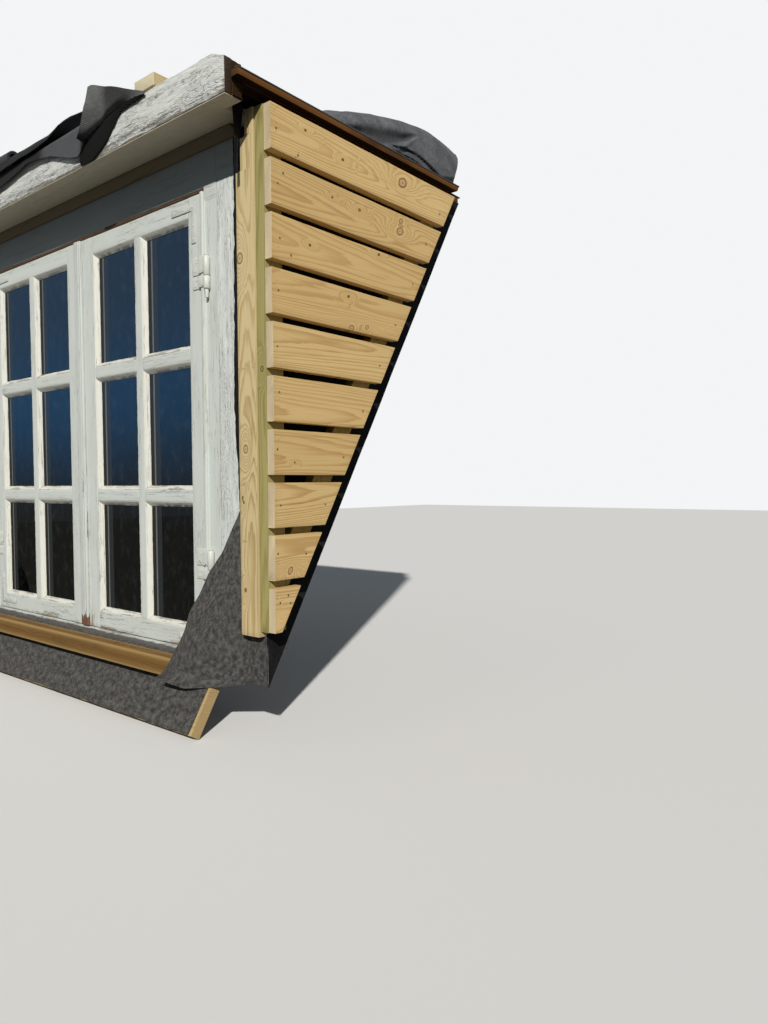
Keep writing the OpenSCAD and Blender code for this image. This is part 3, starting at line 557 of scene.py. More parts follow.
def glass_mat():
    """Old panes with a painted reflection, navy towards the top and near black lower down, over glass that lets a
    twentieth of the light through, as painted shade of the dim room behind; a little uneven and dusty.
    """
    m = Mat("window_glass")
    co = m.coords()
    x, y, z = m.split(co)
    waves = m.noise(co, 5, 5, 3, detail=2)
    dust = m.noise(co, 40, 40, 26, detail=5, rough=0.7)
    level = z + waves * 0.10
    # Painted reflection: the glossy colour goes from near black low on the window to navy higher up, and paler blue at
    # the top
    painted_reflection = m.mix(m.ramp(level, 0.42, 0.80), (0.030, 0.030, 0.028), (0.035, 0.115, 0.24))
    painted_reflection = m.mix(m.ramp(level, 0.70, 1.05), painted_reflection, (0.050, 0.098, 0.170))
    gloss = m.node("BsdfGlossy", named={"Color": painted_reflection, "Roughness": 0.03, "Normal": m.bump(waves, 0.002, 0.25)})
    # Painted shade: the clear part passes only a twentieth of the light, so that the room behind looks dark
    clear, film = m.node("BsdfTransparent", (0.05, 0.05, 0.05)), m.node("BsdfDiffuse", (0.30, 0.33, 0.34))
    facing = m.ramp(m.node("LayerWeight", 0.35, out="Facing"), 0.0, 1.0, 0.22, 0.75, "LINEAR")
    pane = m.node("MixShader", facing, clear, gloss)
    pane = m.node("MixShader", m.ramp(dust, 0.45, 0.85, 0.005, 0.07), pane, film)
    # Painted bands beside each pane's left edge stand for the sash's rebate seen through the glass: a painted shade, a
    # painted lit line and a dim band
    blur = 0.0006
    for a, b, tone, share in ((0.0, 0.013, (0.040, 0.036, 0.030), 0.85), (0.0145, 0.0205, (0.19, 0.20, 0.19), 0.85),
                              (0.021, 0.040, (0.050, 0.058, 0.064), 0.55)):
        mask = 0.0
        for start in PANE_EDGES:
            low, high = start + a, start + b
            mask = m.ramp(x, low - blur, low + blur) * m.ramp(x, high + blur, high - blur) + mask
        fac = mask * m.ramp(dust, 0.2, 0.7, share, share * 0.75)
        pane = m.node("MixShader", fac, pane, m.node("BsdfDiffuse", tone))
    return m.done(pane)


PINE_KNOT = (0.40, 0.215, 0.080)
pine = wood_mat("new_pine", (0.72, 0.525, 0.240), (0.45, 0.260, 0.088), PINE_KNOT, ring=0.0036, end=(0.68, 0.58, 0.39))
lath_pine = wood_mat("lath_pine", (0.69, 0.585, 0.335), (0.42, 0.285, 0.115), PINE_KNOT, ring=0.0030, contrast=0.85,
                     end=(0.80, 0.72, 0.52))
green = wood_mat("green_pine", (0.38, 0.34, 0.132), (0.235, 0.195, 0.067), (0.14, 0.09, 0.03), ring=0.0030,
                 end=(0.38, 0.36, 0.19))
timber = {k: wood_mat("frame_timber_" + k, (0.50, 0.37, 0.18), (0.34, 0.21, 0.085), PINE_KNOT, k, rough=0.7, grime=0.3)
          for k in "xyz"}
green_slope = wood_mat("green_slope", (0.36, 0.31, 0.12), (0.24, 0.18, 0.06), PINE_KNOT, "z")
orange = wood_mat("orange_batten", (0.235, 0.132, 0.040), (0.080, 0.036, 0.010), (0.06, 0.028, 0.012), ring=0.0030,
                  contrast=0.95, end=(0.22, 0.14, 0.06), stain=(0.10, 0.060, 0.024), spec=0.06,
                  rim=(0.42, 0.285, 0.115))
# Old brown deck wood, with painted shade on its faces that look down
brown = wood_mat("old_brown", (0.200, 0.088, 0.026), (0.080, 0.034, 0.012), (0.03, 0.015, 0.008), ring=0.003,
                 end=(0.10, 0.055, 0.025), rough=0.8, stain=(0.04, 0.020, 0.010), grime=0.6, spec=0.05,
                 painted_underside_shade=(0.014, 0.006, 0.003))
casing_paint = paint_mat("casing_paint", (0.70, 0.75, 0.72), (0.40, 0.38, 0.35), (0.25, 0.23, 0.20),
                         (0.48, 1.0, 1.0, 0.28), (9, 120), strokes=1.6, plates=(70, 420, 420, 0.35))
sash_paint = paint_mat("sash_paint", (0.595, 0.645, 0.62), (0.34, 0.28, 0.20), (0.13, 0.09, 0.06),
                       (0.10, 0.85, 0.30, 0.35), (6, 50))
sill_paint = paint_mat("sill_paint", (0.555, 0.60, 0.575), (0.26, 0.22, 0.19), (0.13, 0.09, 0.08),
                       (0.35, 0.8, 0.5, 0.5), (6, 60), wear_and_light=((0.088, 0.075, 0.070), 0.026, 0.033))
strip_paint = paint_mat("strip_paint", (0.555, 0.60, 0.575), (0.17, 0.085, 0.045), (0.07, 0.030, 0.018),
                        (0.22, 0.55, 0.30, 0.35), (6, 50))
putty_paint = paint_mat("putty_paint", (0.68, 0.685, 0.62), (0.40, 0.35, 0.27), (0.15, 0.11, 0.07),
                        (0.08, 1.0, 0.35, 0.20), (14, 90))
fascia_paint = paint_mat("fascia_paint", (0.74, 0.765, 0.735), (0.30, 0.285, 0.245), (0.10, 0.09, 0.075),
                         (0.36, 1.0, 1.0, 0.35), (12, 100), deep=1.2, end=(0.036, 0.018, 0.008), strokes=0.9,
                         plates=(48, 330, 330, 0.65))
# The soffit, backing, mould and frieze paints are dirty and darkened further with painted shade of the cornice's
# overhang; the soffit's pale colour by the fascia, fading towards the back, is a painted highlight.
soffit_paint = paint_mat("soffit_paint", (0.38, 0.34, 0.25), (0.20, 0.16, 0.10), (0.08, 0.06, 0.04),
                         (0.12, 0.4, 0.3, 0.6), (4, 40), "x", wear_and_light=((0.66, 0.59, 0.45), -0.085, 0.030), spec=0.15)
backing_paint = paint_mat("backing_paint", (0.36, 0.34, 0.27), (0.075, 0.036, 0.014), (0.022, 0.010, 0.005),
                          (0.30, 0.6, 0.5, 0.8), (4, 40), end=(0.030, 0.014, 0.005), spec=0.1)
mould_paint = paint_mat("mould_paint", (0.150, 0.118, 0.070), (0.11, 0.08, 0.045), (0.05, 0.035, 0.02),
                        (0.35, 0.6, 0.5, 0.9), (4, 50), spec=0.08)
frieze_paint = paint_mat("frieze_paint", (0.27, 0.315, 0.33), (0.085, 0.052, 0.030), (0.045, 0.026, 0.014),
                         (0.10, 0.25, 0.25, 0.15), (4, 40), spec=0.15)
black_cloth = cloth_mat("black_membrane", (0.008, 0.008, 0.009), (0.022, 0.022, 0.024), sheen=0.0)
grey_cloth = cloth_mat("grey_membrane", (0.032, 0.031, 0.030), (0.130, 0.127, 0.120), 1.0, cloud=58, hair=0.75)
hump_cloth = cloth_mat("hump_membrane", (0.070, 0.074, 0.082), (0.160, 0.166, 0.177), 0.10, cloud=16, contrast=0.9)
felt = cloth_mat("roof_felt", (0.060, 0.064, 0.070), (0.112, 0.117, 0.126), rib=(0.0, 260.0), cloud=9, contrast=0.5)
# A lighter copy of the roof felt for the fold: painted highlight
felt_painted_lit = cloth_mat("felt_fold", (0.100, 0.102, 0.104), (0.215, 0.219, 0.222), rib=(60.0, 240.0), cloud=14,
                       contrast=0.7, sheen=0.0)
steel, nail, glass = steel_mat(), nail_mat(), glass_mat()
rng = np.random.default_rng(7)


# ---------------------------------------------------------------- cheeks
# The right cheek's boards from the top, measured in the photo in millimetres: knots as depth, height above the
# board's lower edge and radius, nails as depth and height
KNOTS = {0: [(449, 62, 12.1), (232, 47, 3.5), (116, 70, 2.9)],
         1: [(437, 51, 9.6), (442, 77, 6), (287, 61, 4.1), (197, 64, 2.6)], 2: [(126, 52, 3.2), (355, 85, 3.5)],
         3: [(256, 6, 7.6), (311, 17, 5.5), (247, 76, 3.4)], 4: [(218, -2, 3.6)], 6: [(75, 27, 2.1)],
         8: [(59, 19, 7.8)]}
NAILS = [[(32, 45), (607, 30), (93, 11)], [(50, 70), (35, 46), (546, 46)], [(39, 46), (70, 18), (488, 43)],
         [(34, 49), (417, 39)], [(29, 44), (356, 43)], [(33, 61), (294, 40)], [(26, 53), (226, 41)],
         [(33, 47), (165, 46)], [(24, 57), (105, 51)], [(52, 77), (29, 64), (58, 60)]]
NAIL = [(-0.0006, 0.0023), (0.0001, 0.0023), (0.0004, 0.00161)]  # heights and radii of a domed head
SUNK = 0.0006  # the boards' faces lie this far inside the solid's
MM = 1000  # millimetres in a metre


def chip(shape, at, side, rng):
    """A raised splinter on a face whose normal is along X."""
    length, width, rise = rng.uniform(0.003, 0.009), rng.uniform(0.0006, 0.0013), rng.uniform(0.0003, 0.0006)
    turn = rng.uniform(-0.5, 0.5)
    c, s = math.cos(turn), math.sin(turn)
    u, w = np.array([-0.5, 0.1, 0.5, 0.1, 0.25]) * length, np.array([0, -0.5, 0, 0.5, 0]) * width
    v = np.stack([side * np.array([-0.0008] * 4 + [rise]), u * c - w * s, u * s + w * c], 1) + at
    shape.add(v, [[0, 1, 4], [1, 2, 4], [2, 3, 4], [3, 0, 4], [3, 2, 1, 0]], tone=rng.uniform(0, 1))


def cheek(side, name):
    right = side > 0
    rng = np.random.default_rng(21 if right else 22)
    shape, nails, chips = Shape(), Shape(), Shape()
    for i in range(10):
        z2 = Z_TOP - i * BOARD_PITCH
        z1 = z2 - BOARD_H
        lift = rng.uniform(0.0, 0.0012)
        front = Y_BOARDS + rng.uniform(0.0, 0.0014)
        back1, back2 = off_roof(z1, BATTEN_D) - 0.001, off_roof(z2, BATTEN_D) - 0.001
        length = back2 - front
        section = outline(rect(z1 + lift, z2 - 0.0006, X_BATTEN, HALF - 0.0004), r=0.0022, step=0.0075)

        def back(z):
            return back1 + (back2 - back1) * (z - z1) / BOARD_H

        if right:
            knots = [((y / MM - front) / (back(z1 + h / MM) - front) * length, (h - 47.5) / MM, radius / MM)
                     for y, h, radius in KNOTS.get(i, ())]
            heads = NAILS[i]
        else:
            knots = [(rng.uniform(0.04, max(0.05, length - 0.03)), rng.uniform(-0.36, 0.36) * BOARD_H,
                      rng.uniform(0.004, 0.011)) for _ in range(max(1, int(rng.integers(2, 4) * length / 0.5 + 0.6)))]
            heads = [(rng.uniform(28, 40), rng.uniform(42, 60)),
                     (MM * off_roof((z1 + z2) / 2, BATTEN_D) - rng.uniform(24, 42), rng.uniform(36, 50))]
            if heads[1][0] < 45:  # the lowest board is too short for a nail straight behind the first
                heads[1] = (50, heads[1][1] + 28)
        prism(shape, section, length, lambda a, b, t: (side * b, front + (back(a) - front) * t / length, a), rng,
              step=0.014, r=0.0012, pith=(rng.uniform(-0.035, 0.035), -rng.uniform(0.030, 0.085)), knots=knots)
        x = side * (HALF - SUNK)
        for y, h in heads:
            turned(nails, (x, y / MM, z1 + h / MM), NAIL, 0, side, 10)
            for _ in range(3):
                chip(chips, (x, (y + rng.uniform(-7, 5)) / MM, z1 + (h + rng.uniform(-7, 7)) / MM), side, rng)
        for _ in range(8):
            chip(chips, (x, front + rng.uniform(0.006, 0.022), z1 + rng.uniform(0.006, 0.089)), side, rng)

    def push(v, n, at):
        wave = 0.0006 * noise(v, (3, 9, 9), 3) + 0.00025 * noise(v, (40, 30, 160), 5, 2)
        return -SUNK + np.minimum(SUNK, wave) - 0.0007 * at["endg"] * (1 + noise(v, 300, 9, 2))

    piece("boards_" + name, shape, pine, ("cheek_boards_" + name,), push)
    piece("board_nails_" + name, nails, nail)
    piece("board_chips_" + name, chips, lath_pine, angle=10)


for side, name in SIDES:
    cheek(side, name)

shape = Shape()
for side, _ in SIDES:
    section = outline(rect(X_MEMBRANE, X_BATTEN, Y_BOARDS, Y_BOARDS + 0.05), r=0.0015, step=0.006)
    prism(shape, section, Z_TOP - Z_FOOT, lambda a, b, t: (side * a, b, Z_FOOT + t), rng, pith=(0.02, 0.05),
          knots=[(0.545, 0.002, 0.005)])
piece("green_battens", shape, green, ("corner_battens",))


def lath(side, name):
    """Corner lath, narrowed in two steps at the top of its inner edge."""
    right = side > 0
    rng = np.random.default_rng(31 if right else 32)
    z0 = Z_FOOT - 0.012
    length = Z_TOP - z0
    (high, cut1), (low, cut2) = steps = ((length - 0.054, 0.030), (length - 0.120, 0.015))
    section = outline(rect(X_LATH, X_MEMBRANE, Y_LATH, Y_WRAP), r=0.0022, step=0.006)

    def place(a, b, t):
        cut = np.where(t > high, cut1, np.where(t > low, cut2, 0.0))
        return side * (a + cut * np.clip((X_MEMBRANE - a) / (X_MEMBRANE - X_LATH), 0, 1)), b, z0 + t

    shape = Shape()
    knots = [(0.791, -0.0175, 0.009), (0.394, -0.0065, 0.007), (0.293, -0.0180, 0.0026), (0.283, -0.0150, 0.0032),
             (0.097, -0.0125, 0.004)] if right else [(0.55, -0.010, 0.008)]
    prism(shape, section, length, place, rng, step=0.012, pith=(rng.uniform(-0.01, 0.01), 0.06), knots=knots,
          extra=[at + d for at, _ in steps for d in (-0.0004, 0.0006)])
    piece("corner_trim_" + name, shape, lath_pine, ("corner_lath_" + name,), lambda v, n, at:
          -0.0005 + 0.0005 * noise(v, (6, 6, 4), 3) + 0.0002 * noise(v, (200, 200, 20), 5, 2))


for side, name in SIDES:
    lath(side, name)


# ---------------------------------------------------------------- front boards
def casing(side, name):
    rng = np.random.default_rng(41 if side > 0 else 42)
    seed = 51 if side > 0 else 52
    length = Z_SASH_TOP - 0.05

    def place(a, b, t):
        foot = b * math.tan(SLOPE)
        return side * a, b, foot + (Z_SASH_TOP + 0.010 - foot) * t / length

    def bare(v):
        edge = smooth(np.abs(v[:, 0]), X_SHEATHING - 0.028, X_SHEATHING)
        corner = smooth(np.abs(v[:, 0]), 0.600, 0.690) * smooth(v[:, 2], 0.85, 0.45)
        return 0.16 * smooth(v[:, 2], 0.55, 0.2) + 0.22 * corner + 0.12 * edge + 0.10 * noise(v, (20, 20, 3), 8, 2)

    def flaky(v, n, at):
        """Raised grain along Z and flakes that are gone."""
        flake = smooth(noise(v, (60, 40, 9), seed + 3, 3), 0.08, 0.16)
        return -0.0011 * (0.45 * (0.5 - 0.5 * noise(v, (230, 90, 5), seed, 2)) + 0.55 * flake)

    shape = Shape()
    prism(shape, outline(rect(X_FRAME, X_SHEATHING, Y_CASING, Y_POST), r=0.002, step=0.0032), length, place, rng,
          step=0.0060, pith=(0.01, 0.09), bare=bare, tone=0.3)
    piece("front_casing_" + name, shape, casing_paint, ("casing_" + name,), flaky)


for side, name in SIDES:
    casing(side, name)


def strip_bare(v):
    """The frieze's lower edge above the sashes has lost its paint."""
    low = smooth(v[:, 2], Z_SASH_TOP + 0.0085, Z_SASH_TOP + 0.0050)
    return 1.6 * low * smooth(np.abs(v[:, 0]), 0.548, 0.541) * smooth(v[:, 1], Y_CASING + 0.004, Y_CASING + 0.001)


shape = Shape()
above = Z_SASH_TOP + 0.0102
for xa, xb, z in ((-X_SHEATHING, -X_FRAME, above), (-X_FRAME, X_FRAME, Z_SASH_TOP), (X_FRAME, X_SHEATHING, above)):
    beam(shape, "x", xa, xb, rect(Y_CASING, Y_POST, z, Z_SOFFIT + 0.019), 0.0008, 0.0030, 0.012, r_end=0.0002,
         pith=(0.09, 0.0), bare=strip_bare, tone=0.4)
piece("front_frieze", shape, frieze_paint, ("frieze_board",), uneven(0.0004, (3, 9, 12), 4))


# Fascia, whose lower third is raised grain with most of the paint gone, and whose ends have lost their paint
def fascia_bare(v):
    low = smooth(v[:, 2], Z_SOFFIT + 0.036, Z_SOFFIT + 0.010)
    end = smooth(np.abs(v[:, 0]), X_BATTEN - 0.030, X_BATTEN - 0.004)
    under = smooth(v[:, 2], Z_SOFFIT + 0.002, Z_SOFFIT)
    back = smooth(v[:, 1], Y_FASCIA + 0.006, Y_FASCIA + 0.016)
    return 0.34 * low + 0.12 * end + 0.05 * under + 0.9 * end * back + 0.10 * noise(v, (4, 30, 30), 13, 2)


def fascia_push(v, n, at):
    low = smooth(v[:, 2], Z_SOFFIT + 0.040, Z_SOFFIT + 0.008)
    ridge = 0.5 - 0.5 * noise(v, (5, 60, 340), 61, 3)
    flake = smooth(noise(v, (14, 40, 90), 63, 3), 0.05, 0.14)
    dent = np.maximum(0, noise(v, (6, 20, 25), 65, 2) - 0.25)
    return -0.0022 * low * ridge - 0.0006 * ridge - 0.0010 * flake - 0.004 * dent


def broken(a, b, t):
    """Lowers the top towards the right end, where the corner is broken off."""
    x = -X_BATTEN + t
    top = np.interp(x, [0.7170, 0.7205, 0.730, 0.7335, 0.745, 0.7555], [0, -0.0020, -0.0060, -0.0085, -0.0130, -0.0175])
    return x, a, b + top * (b - Z_SOFFIT) / (Z_FASCIA - Z_SOFFIT)


shape = Shape()
prism(shape, outline(rect(Y_FASCIA, Y_BACKING, Z_SOFFIT, Z_FASCIA), r=0.004, step=0.0022), 2 * X_BATTEN, broken, rng,
      step=0.0045, r=0.003, pith=(0.07, 0.0), bare=fascia_bare, tone=0.3)
piece("cornice_fascia", shape, fascia_paint, ("front_fascia",), fascia_push)


def backing_bare(v):
    end = smooth(np.abs(v[:, 0]), X_BATTEN - 0.010, X_BATTEN - 0.004)
    return 1.8 * np.maximum(end, smooth(v[:, 2], Z_SOFFIT + 0.004, Z_SOFFIT + 0.010))


def backing_push(v, n, at):
    end = smooth(np.abs(v[:, 0]), 0.745, 0.753) * np.maximum(0, noise(v, (30, 160, 14), 75, 2))
    return -0.0012 + 0.0012 * noise(v, (20, 60, 60), 71, 3) - 0.0030 * end


shape = Shape()
section = outline(rect(Y_BACKING, Y_DECK, Z_SOFFIT, Z_FASCIA), r=[0.0008, 0.0003, 0.003, 0.003], step=0.004)
prism(shape, section, 2 * X_BATTEN, broken, rng, step=0.012, r=0.003, bare=backing_bare)
piece("cornice_backing", shape, backing_paint, ("fascia_backing",), backing_push)

shape = Shape()
beam(shape, "x", -X_SOFFIT, X_SOFFIT, rect(Y_DECK, Y_CASING, Z_SOFFIT, Z_SOFFIT + 0.019),
     [0.0003, 0.0015, 0.0015, 0.0003], 0.006, 0.02, tone=0.5)
piece("cornice_soffit", shape, soffit_paint, ("soffit_board",), uneven(0.0006, (4, 40, 40), 72, 3))

# White ends of the frame's head beside the sashes
shape = Shape()
for side, _ in SIDES:
    xa, xb = sorted((side * (X_FRAME - 0.0002), side * 0.5370))
    pts = [(Y_CASING - 0.0004, above), (Y_CASING - 0.0004, Z_SASH_TOP + 0.001), (Y_CASING + 0.0022, Z_SASH_TOP - 0.022),
           (Y_CASING + 0.003, Z_SASH_TOP - 0.022), (Y_CASING + 0.003, above)]
    beam(shape, "x", xa, xb, pts, [0.0004, 0.006, 0.0001, 0.0001, 0.0004], 0.003, 0.008, r_end=0.0002, tone=0.3)
piece("head_ends", shape, sash_paint)

# The painted skin that runs through under fascia, backing board and soffit
shape = Shape()
xa, xb, ya, yb = X_BATTEN - 0.0035, X_SOFFIT - 0.0003, Y_FASCIA + 0.0025, Y_DECK - 0.0010
for x1, x2, y2 in ((-xb, xb, Y_CASING - 0.029), (-xa, -xb, yb), (xb, xa, yb)):
    beam(shape, "x", x1, x2, rect(ya, y2, Z_SOFFIT - 0.0007, Z_SOFFIT + 0.0006), 0.0003, 0.006, 0.02, r_end=0.0003,
         tone=0.5)
piece("soffit_skin", shape, soffit_paint)

# Bed mould with a shallow hollow between two fillets
shape = Shape()
y1 = Y_CASING - 0.030
hollow = [(y1 + 0.0244 * q, Z_SOFFIT - 0.0056 - 0.0084 * q + 0.0022 * math.sin(math.pi * q))
          for q in np.linspace(0, 1, 9)]
mould = [(y1, Z_SOFFIT), *hollow, (Y_CASING, Z_SOFFIT - 0.014), (Y_CASING, Z_SOFFIT)]
beam(shape, "x", 0.064 - X_SHEATHING, X_SHEATHING - 0.064, mould, 0.0012, 0.005, 0.02, tone=0.5)
piece("cornice_mould", shape, mould_paint, ("bed_mould",), uneven(0.0004, (5, 60, 60), 73, 3))

# Deck, whose brown edge shows above each cheek and runs on beside the cornice's ends
shape = Shape()
for side, _ in SIDES:
    for xa, xb, start in ((X_BATTEN + 0.0006, HALF - 0.0005, Y_BACKING - 0.006),
                          (X_MEMBRANE, X_BATTEN + 0.0004, Y_DECK)):
        length = off_roof(Z_FELT, BATTEN_D) - start

        def place(a, b, t):
            return side * a, start + (off_roof(b, BATTEN_D) - start) * t / length, b

        section = outline(rect(xa, xb, Z_DECK, Z_FELT), r=0.002, step=0.005)
        prism(shape, section, length, place, rng, step=0.012, tone=0.4)
x1 = X_MEMBRANE - 0.0002
beam(shape, "y", Y_DECK, off_roof(Z_DECK) - 0.001, rect(-x1, x1, Z_DECK, Z_FELT), 0.001, 0.05, 0.05, tone=0.6)
piece("deck_boards", shape, brown, ("roof_deck",), uneven(0.0006, (40, 12, 60), 74, 3))


# ---------------------------------------------------------------- window
def sash(side, name):
    """A sash of stiles, rails and bars, each with a chamfer of putty towards the glass."""
    rng = np.random.default_rng(81 if side > 0 else 82)
    wood, putty = Shape(), Shape()
    ys, yb = Y_CASING, Y_CASING + 0.042
    x0, x1, z0, z1 = GAP, X_SASH - GAP, Z_SILL + GAP, Z_SASH_TOP - GAP
    stile, meet, top, bottom, bar, level, bevel = 0.044, 0.065, 0.045, 0.044, 0.026, 0.027, 0.011
    pane_w = (x1 - x0 - stile - meet - bar) / 2
    pane_h = (z1 - z0 - top - bottom - 2 * level) / 3
    overlap = 0.001

    def member(upright, low, high, start, end, chamfers, inset=0.0):
        """One stile, rail or bar, from low to high across its grain and from start to end along it.

        chamfers says whether its low and high side carry one.
        """
        pts = [(low, ys + inset), (high, ys + inset)]
        pts += [(high + bevel, ys + bevel), (high + bevel, yb)] if chamfers[1] else [(high, yb)]
        pts += [(low - bevel, yb), (low - bevel, ys + bevel)] if chamfers[0] else [(low, yb)]
        radii = [0.0018 if y < ys + 0.004 else 0.0006 for _, y in pts]
        wear_and_light, scale, seed = (0.30, (30, 30, 5), 5) if upright else (0.34, (5, 30, 30), 6)

        def place(a, b, t):
            return (side * a, b, start + t) if upright else (side * (start + t), a, b)

        prism(wood, outline(pts if upright else [p[::-1] for p in pts], r=radii, step=0.006), end - start, place, rng,
              step=0.010, r=0.0008, tone=0.4,
              bare=lambda v: wear_and_light * smooth(v[:, 2], z0 + 0.09, z0) + 0.12 * noise(v, scale, seed, 2))

    left, right = x0 + meet - overlap, x1 - stile + overlap
    member(True, x0, x0 + meet, z0, z1, (False, True))
    member(True, x1 - stile, x1, z0, z1, (True, False))
    member(False, z1 - top, z1, left, right, (True, False), 0.0003)
    member(False, z0, z0 + bottom, left, right, (False, True), 0.0003)
    xm = x0 + meet + pane_w
    member(True, xm, xm + bar, z0 + bottom - overlap, z1 - top + overlap, (True, True), 0.0006)
    for j in (1, 2):
        zl = z0 + bottom + j * pane_h + (j - 1) * level
        for xa in (left, xm + bar - overlap):
            member(False, zl, zl + level, xa, xa + pane_w + 2 * overlap, (True, True), 0.0009)

    # Putty: a thin uneven fillet on each chamfer
    for i in (0, 1):
        for j in (0, 1, 2):
            xa, za = x0 + meet + i * (pane_w + bar), z0 + bottom + j * (pane_h + level)
            xb, zb = xa + pane_w, za + pane_h
            corners = [(xa, za), (xb, za), (xb, zb), (xa, zb)]
            for q, inward in enumerate(((0, 1), (-1, 0), (0, -1), (1, 0))):
                fillet(putty, side, corners[q], corners[(q + 1) % 4], inward, ys, bevel)

    piece("sash_wood_" + name, wood, sash_paint, ("sash_" + name,), lambda v, n, at:
          -0.0003 + 0.0003 * noise(v, 45, 83, 2) - 0.0008 * np.maximum(0, noise(v, (60, 60, 22), 84, 2) - 0.35))
    piece("sash_putty_" + name, putty, putty_paint, (), lambda v, n, at:
          -0.0006 * (1 + noise(v, 120, 85, 2)) - 0.0022 * np.maximum(0, noise(v, 70, 86, 2) - 0.30))


def fillet(shape, side, pa, pb, n, ys, bevel):
    """Putty along one edge of a pane, mitred at both ends. n points into the pane."""
    pa, pb, n = np.array(pa), np.array(pb), np.array(n)
    length = np.linalg.norm(pb - pa)
    d = (pb - pa) / length
    y_glass = ys + bevel + 0.0019
    profile = [(0.0014, ys + 0.0012), (bevel * 0.55, ys + bevel * 0.42), (bevel + 0.0012, ys + bevel + 0.0002),
               (bevel + 0.0012, y_glass), (bevel * 0.4, y_glass), (0.0005, ys + 0.0030)]
    k = max(2, int(length / 0.006))
    v, grain = [], []
    for s in np.arange(k + 1) / k:
        for u, y in profile:
            t = u + (length - 2 * u) * s
            p = pa + d * t + n * u
            v.append((side * p[0], y, p[1]))
            grain.append((t + pa[0] * 7.3, u + pa[1] * 3.1, y))
    shape.add(np.array(v), tube(len(profile), k + 1), wood=np.array(grain), edge=np.tile([1.0, 0, 1, 0, 0, 0], k + 1),
              bare=0.35 if n[1] > 0.5 else 0.10, tone=0.5)


for side, name in SIDES:
    sash(side, name)

shape = Shape()
for side, _ in SIDES:
    pts = [(X_SASH, Y_CASING - 0.005), (X_SASH + 0.012, Y_CASING - 0.005), (X_SASH + 0.012, Y_CASING + 0.002),
           (X_FRAME, Y_CASING + 0.002), (X_FRAME, Y_CASING + 0.097), (X_SASH - 0.012, Y_CASING + 0.097),
           (X_SASH - 0.012, Y_CASING + 0.043), (X_SASH, Y_CASING + 0.043)]
    prism(shape, outline(pts, r=[0.006] * 2 + [0.001] * 6, step=0.006), Z_SASH_TOP - Z_SILL,
          lambda a, b, t: (side * a, b, Z_SILL + t), rng, step=0.012, tone=0.3,
          bare=lambda v: 0.25 * smooth(v[:, 2], 0.3, 0.12))
piece("window_jambs", shape, sash_paint, ("frame_jambs",), uneven(0.0003, (50, 50, 12), 87))

# Strip on the meeting stiles: flat with a bead and a groove
shape = Shape()
yf = Y_CASING - 0.008
bead = [(0.012 + 0.004 * math.sin(a), yf + 0.004 - 0.004 * math.cos(a)) for a in np.linspace(0, math.pi / 2, 6)]
pts = [(-0.016, Y_CASING), (-0.016, yf + 0.002), (-0.0145, yf), (0.005, yf), (0.0065, yf + 0.0022),
       (0.008, yf + 0.0005), *bead, (0.016, Y_CASING)]
beam(shape, "z", Z_SILL + GAP, Z_SASH_TOP - 2 * GAP, pts, 0.0004, 0.006, 0.012, r_end=0.001, tone=0.3,
     bare=lambda v: 0.75 * smooth(v[:, 2], 0.155, 0.120) + 0.05)
piece("cover_strip", shape, strip_paint, ("meeting_strip",), uneven(0.0002, (60, 60, 10), 88))

shape = Shape()
yb = Y_CASING + 0.097
pts = [(Y_SILL, Z_SILL - 0.045), (yb, Z_SILL - 0.045), (yb, Z_SILL), (Y_CASING + 0.002, Z_SILL),
       (Y_SILL, Z_SILL - 0.008)]
beam(shape, "x", -X_FRAME, X_FRAME, pts, [0.002, 0.001, 0.001, 0.001, 0.005], 0.005, 0.008, tone=0.3,
     bare=lambda v: 0.25 * smooth(v[:, 1], 0.05, 0.02) + 0.2 * noise(v, (12, 40, 40), 14, 2))
piece("sill_board", shape, sill_paint, ("window_sill",), uneven(0.0006, (10, 60, 90), 89, 3))


# ---------------------------------------------------------------- fabric
def unit(k):
    return np.linspace(0, 1, k)


def mesh_grid(us, vs):
    return np.meshgrid(np.asarray(us, float), np.asarray(vs, float), indexing="ij")


def stack(x, y, z):
    return np.stack(np.broadcast_arrays(x, y, z), 2)


def lerp(x, points):
    """A curve of straight lines through the points."""
    xs, ys = zip(*points)
    return np.interp(x, xs, ys)


def swell(p, scale, seed, octaves):
    """Noise on a grid of points."""
    return noise(p.reshape(-1, 3), scale, seed, octaves).reshape(p.shape[:2])


def ruffle(seed, octaves, x, y=0.0):
    return swell(stack(x, y, 0.0), 1.0, seed, octaves)


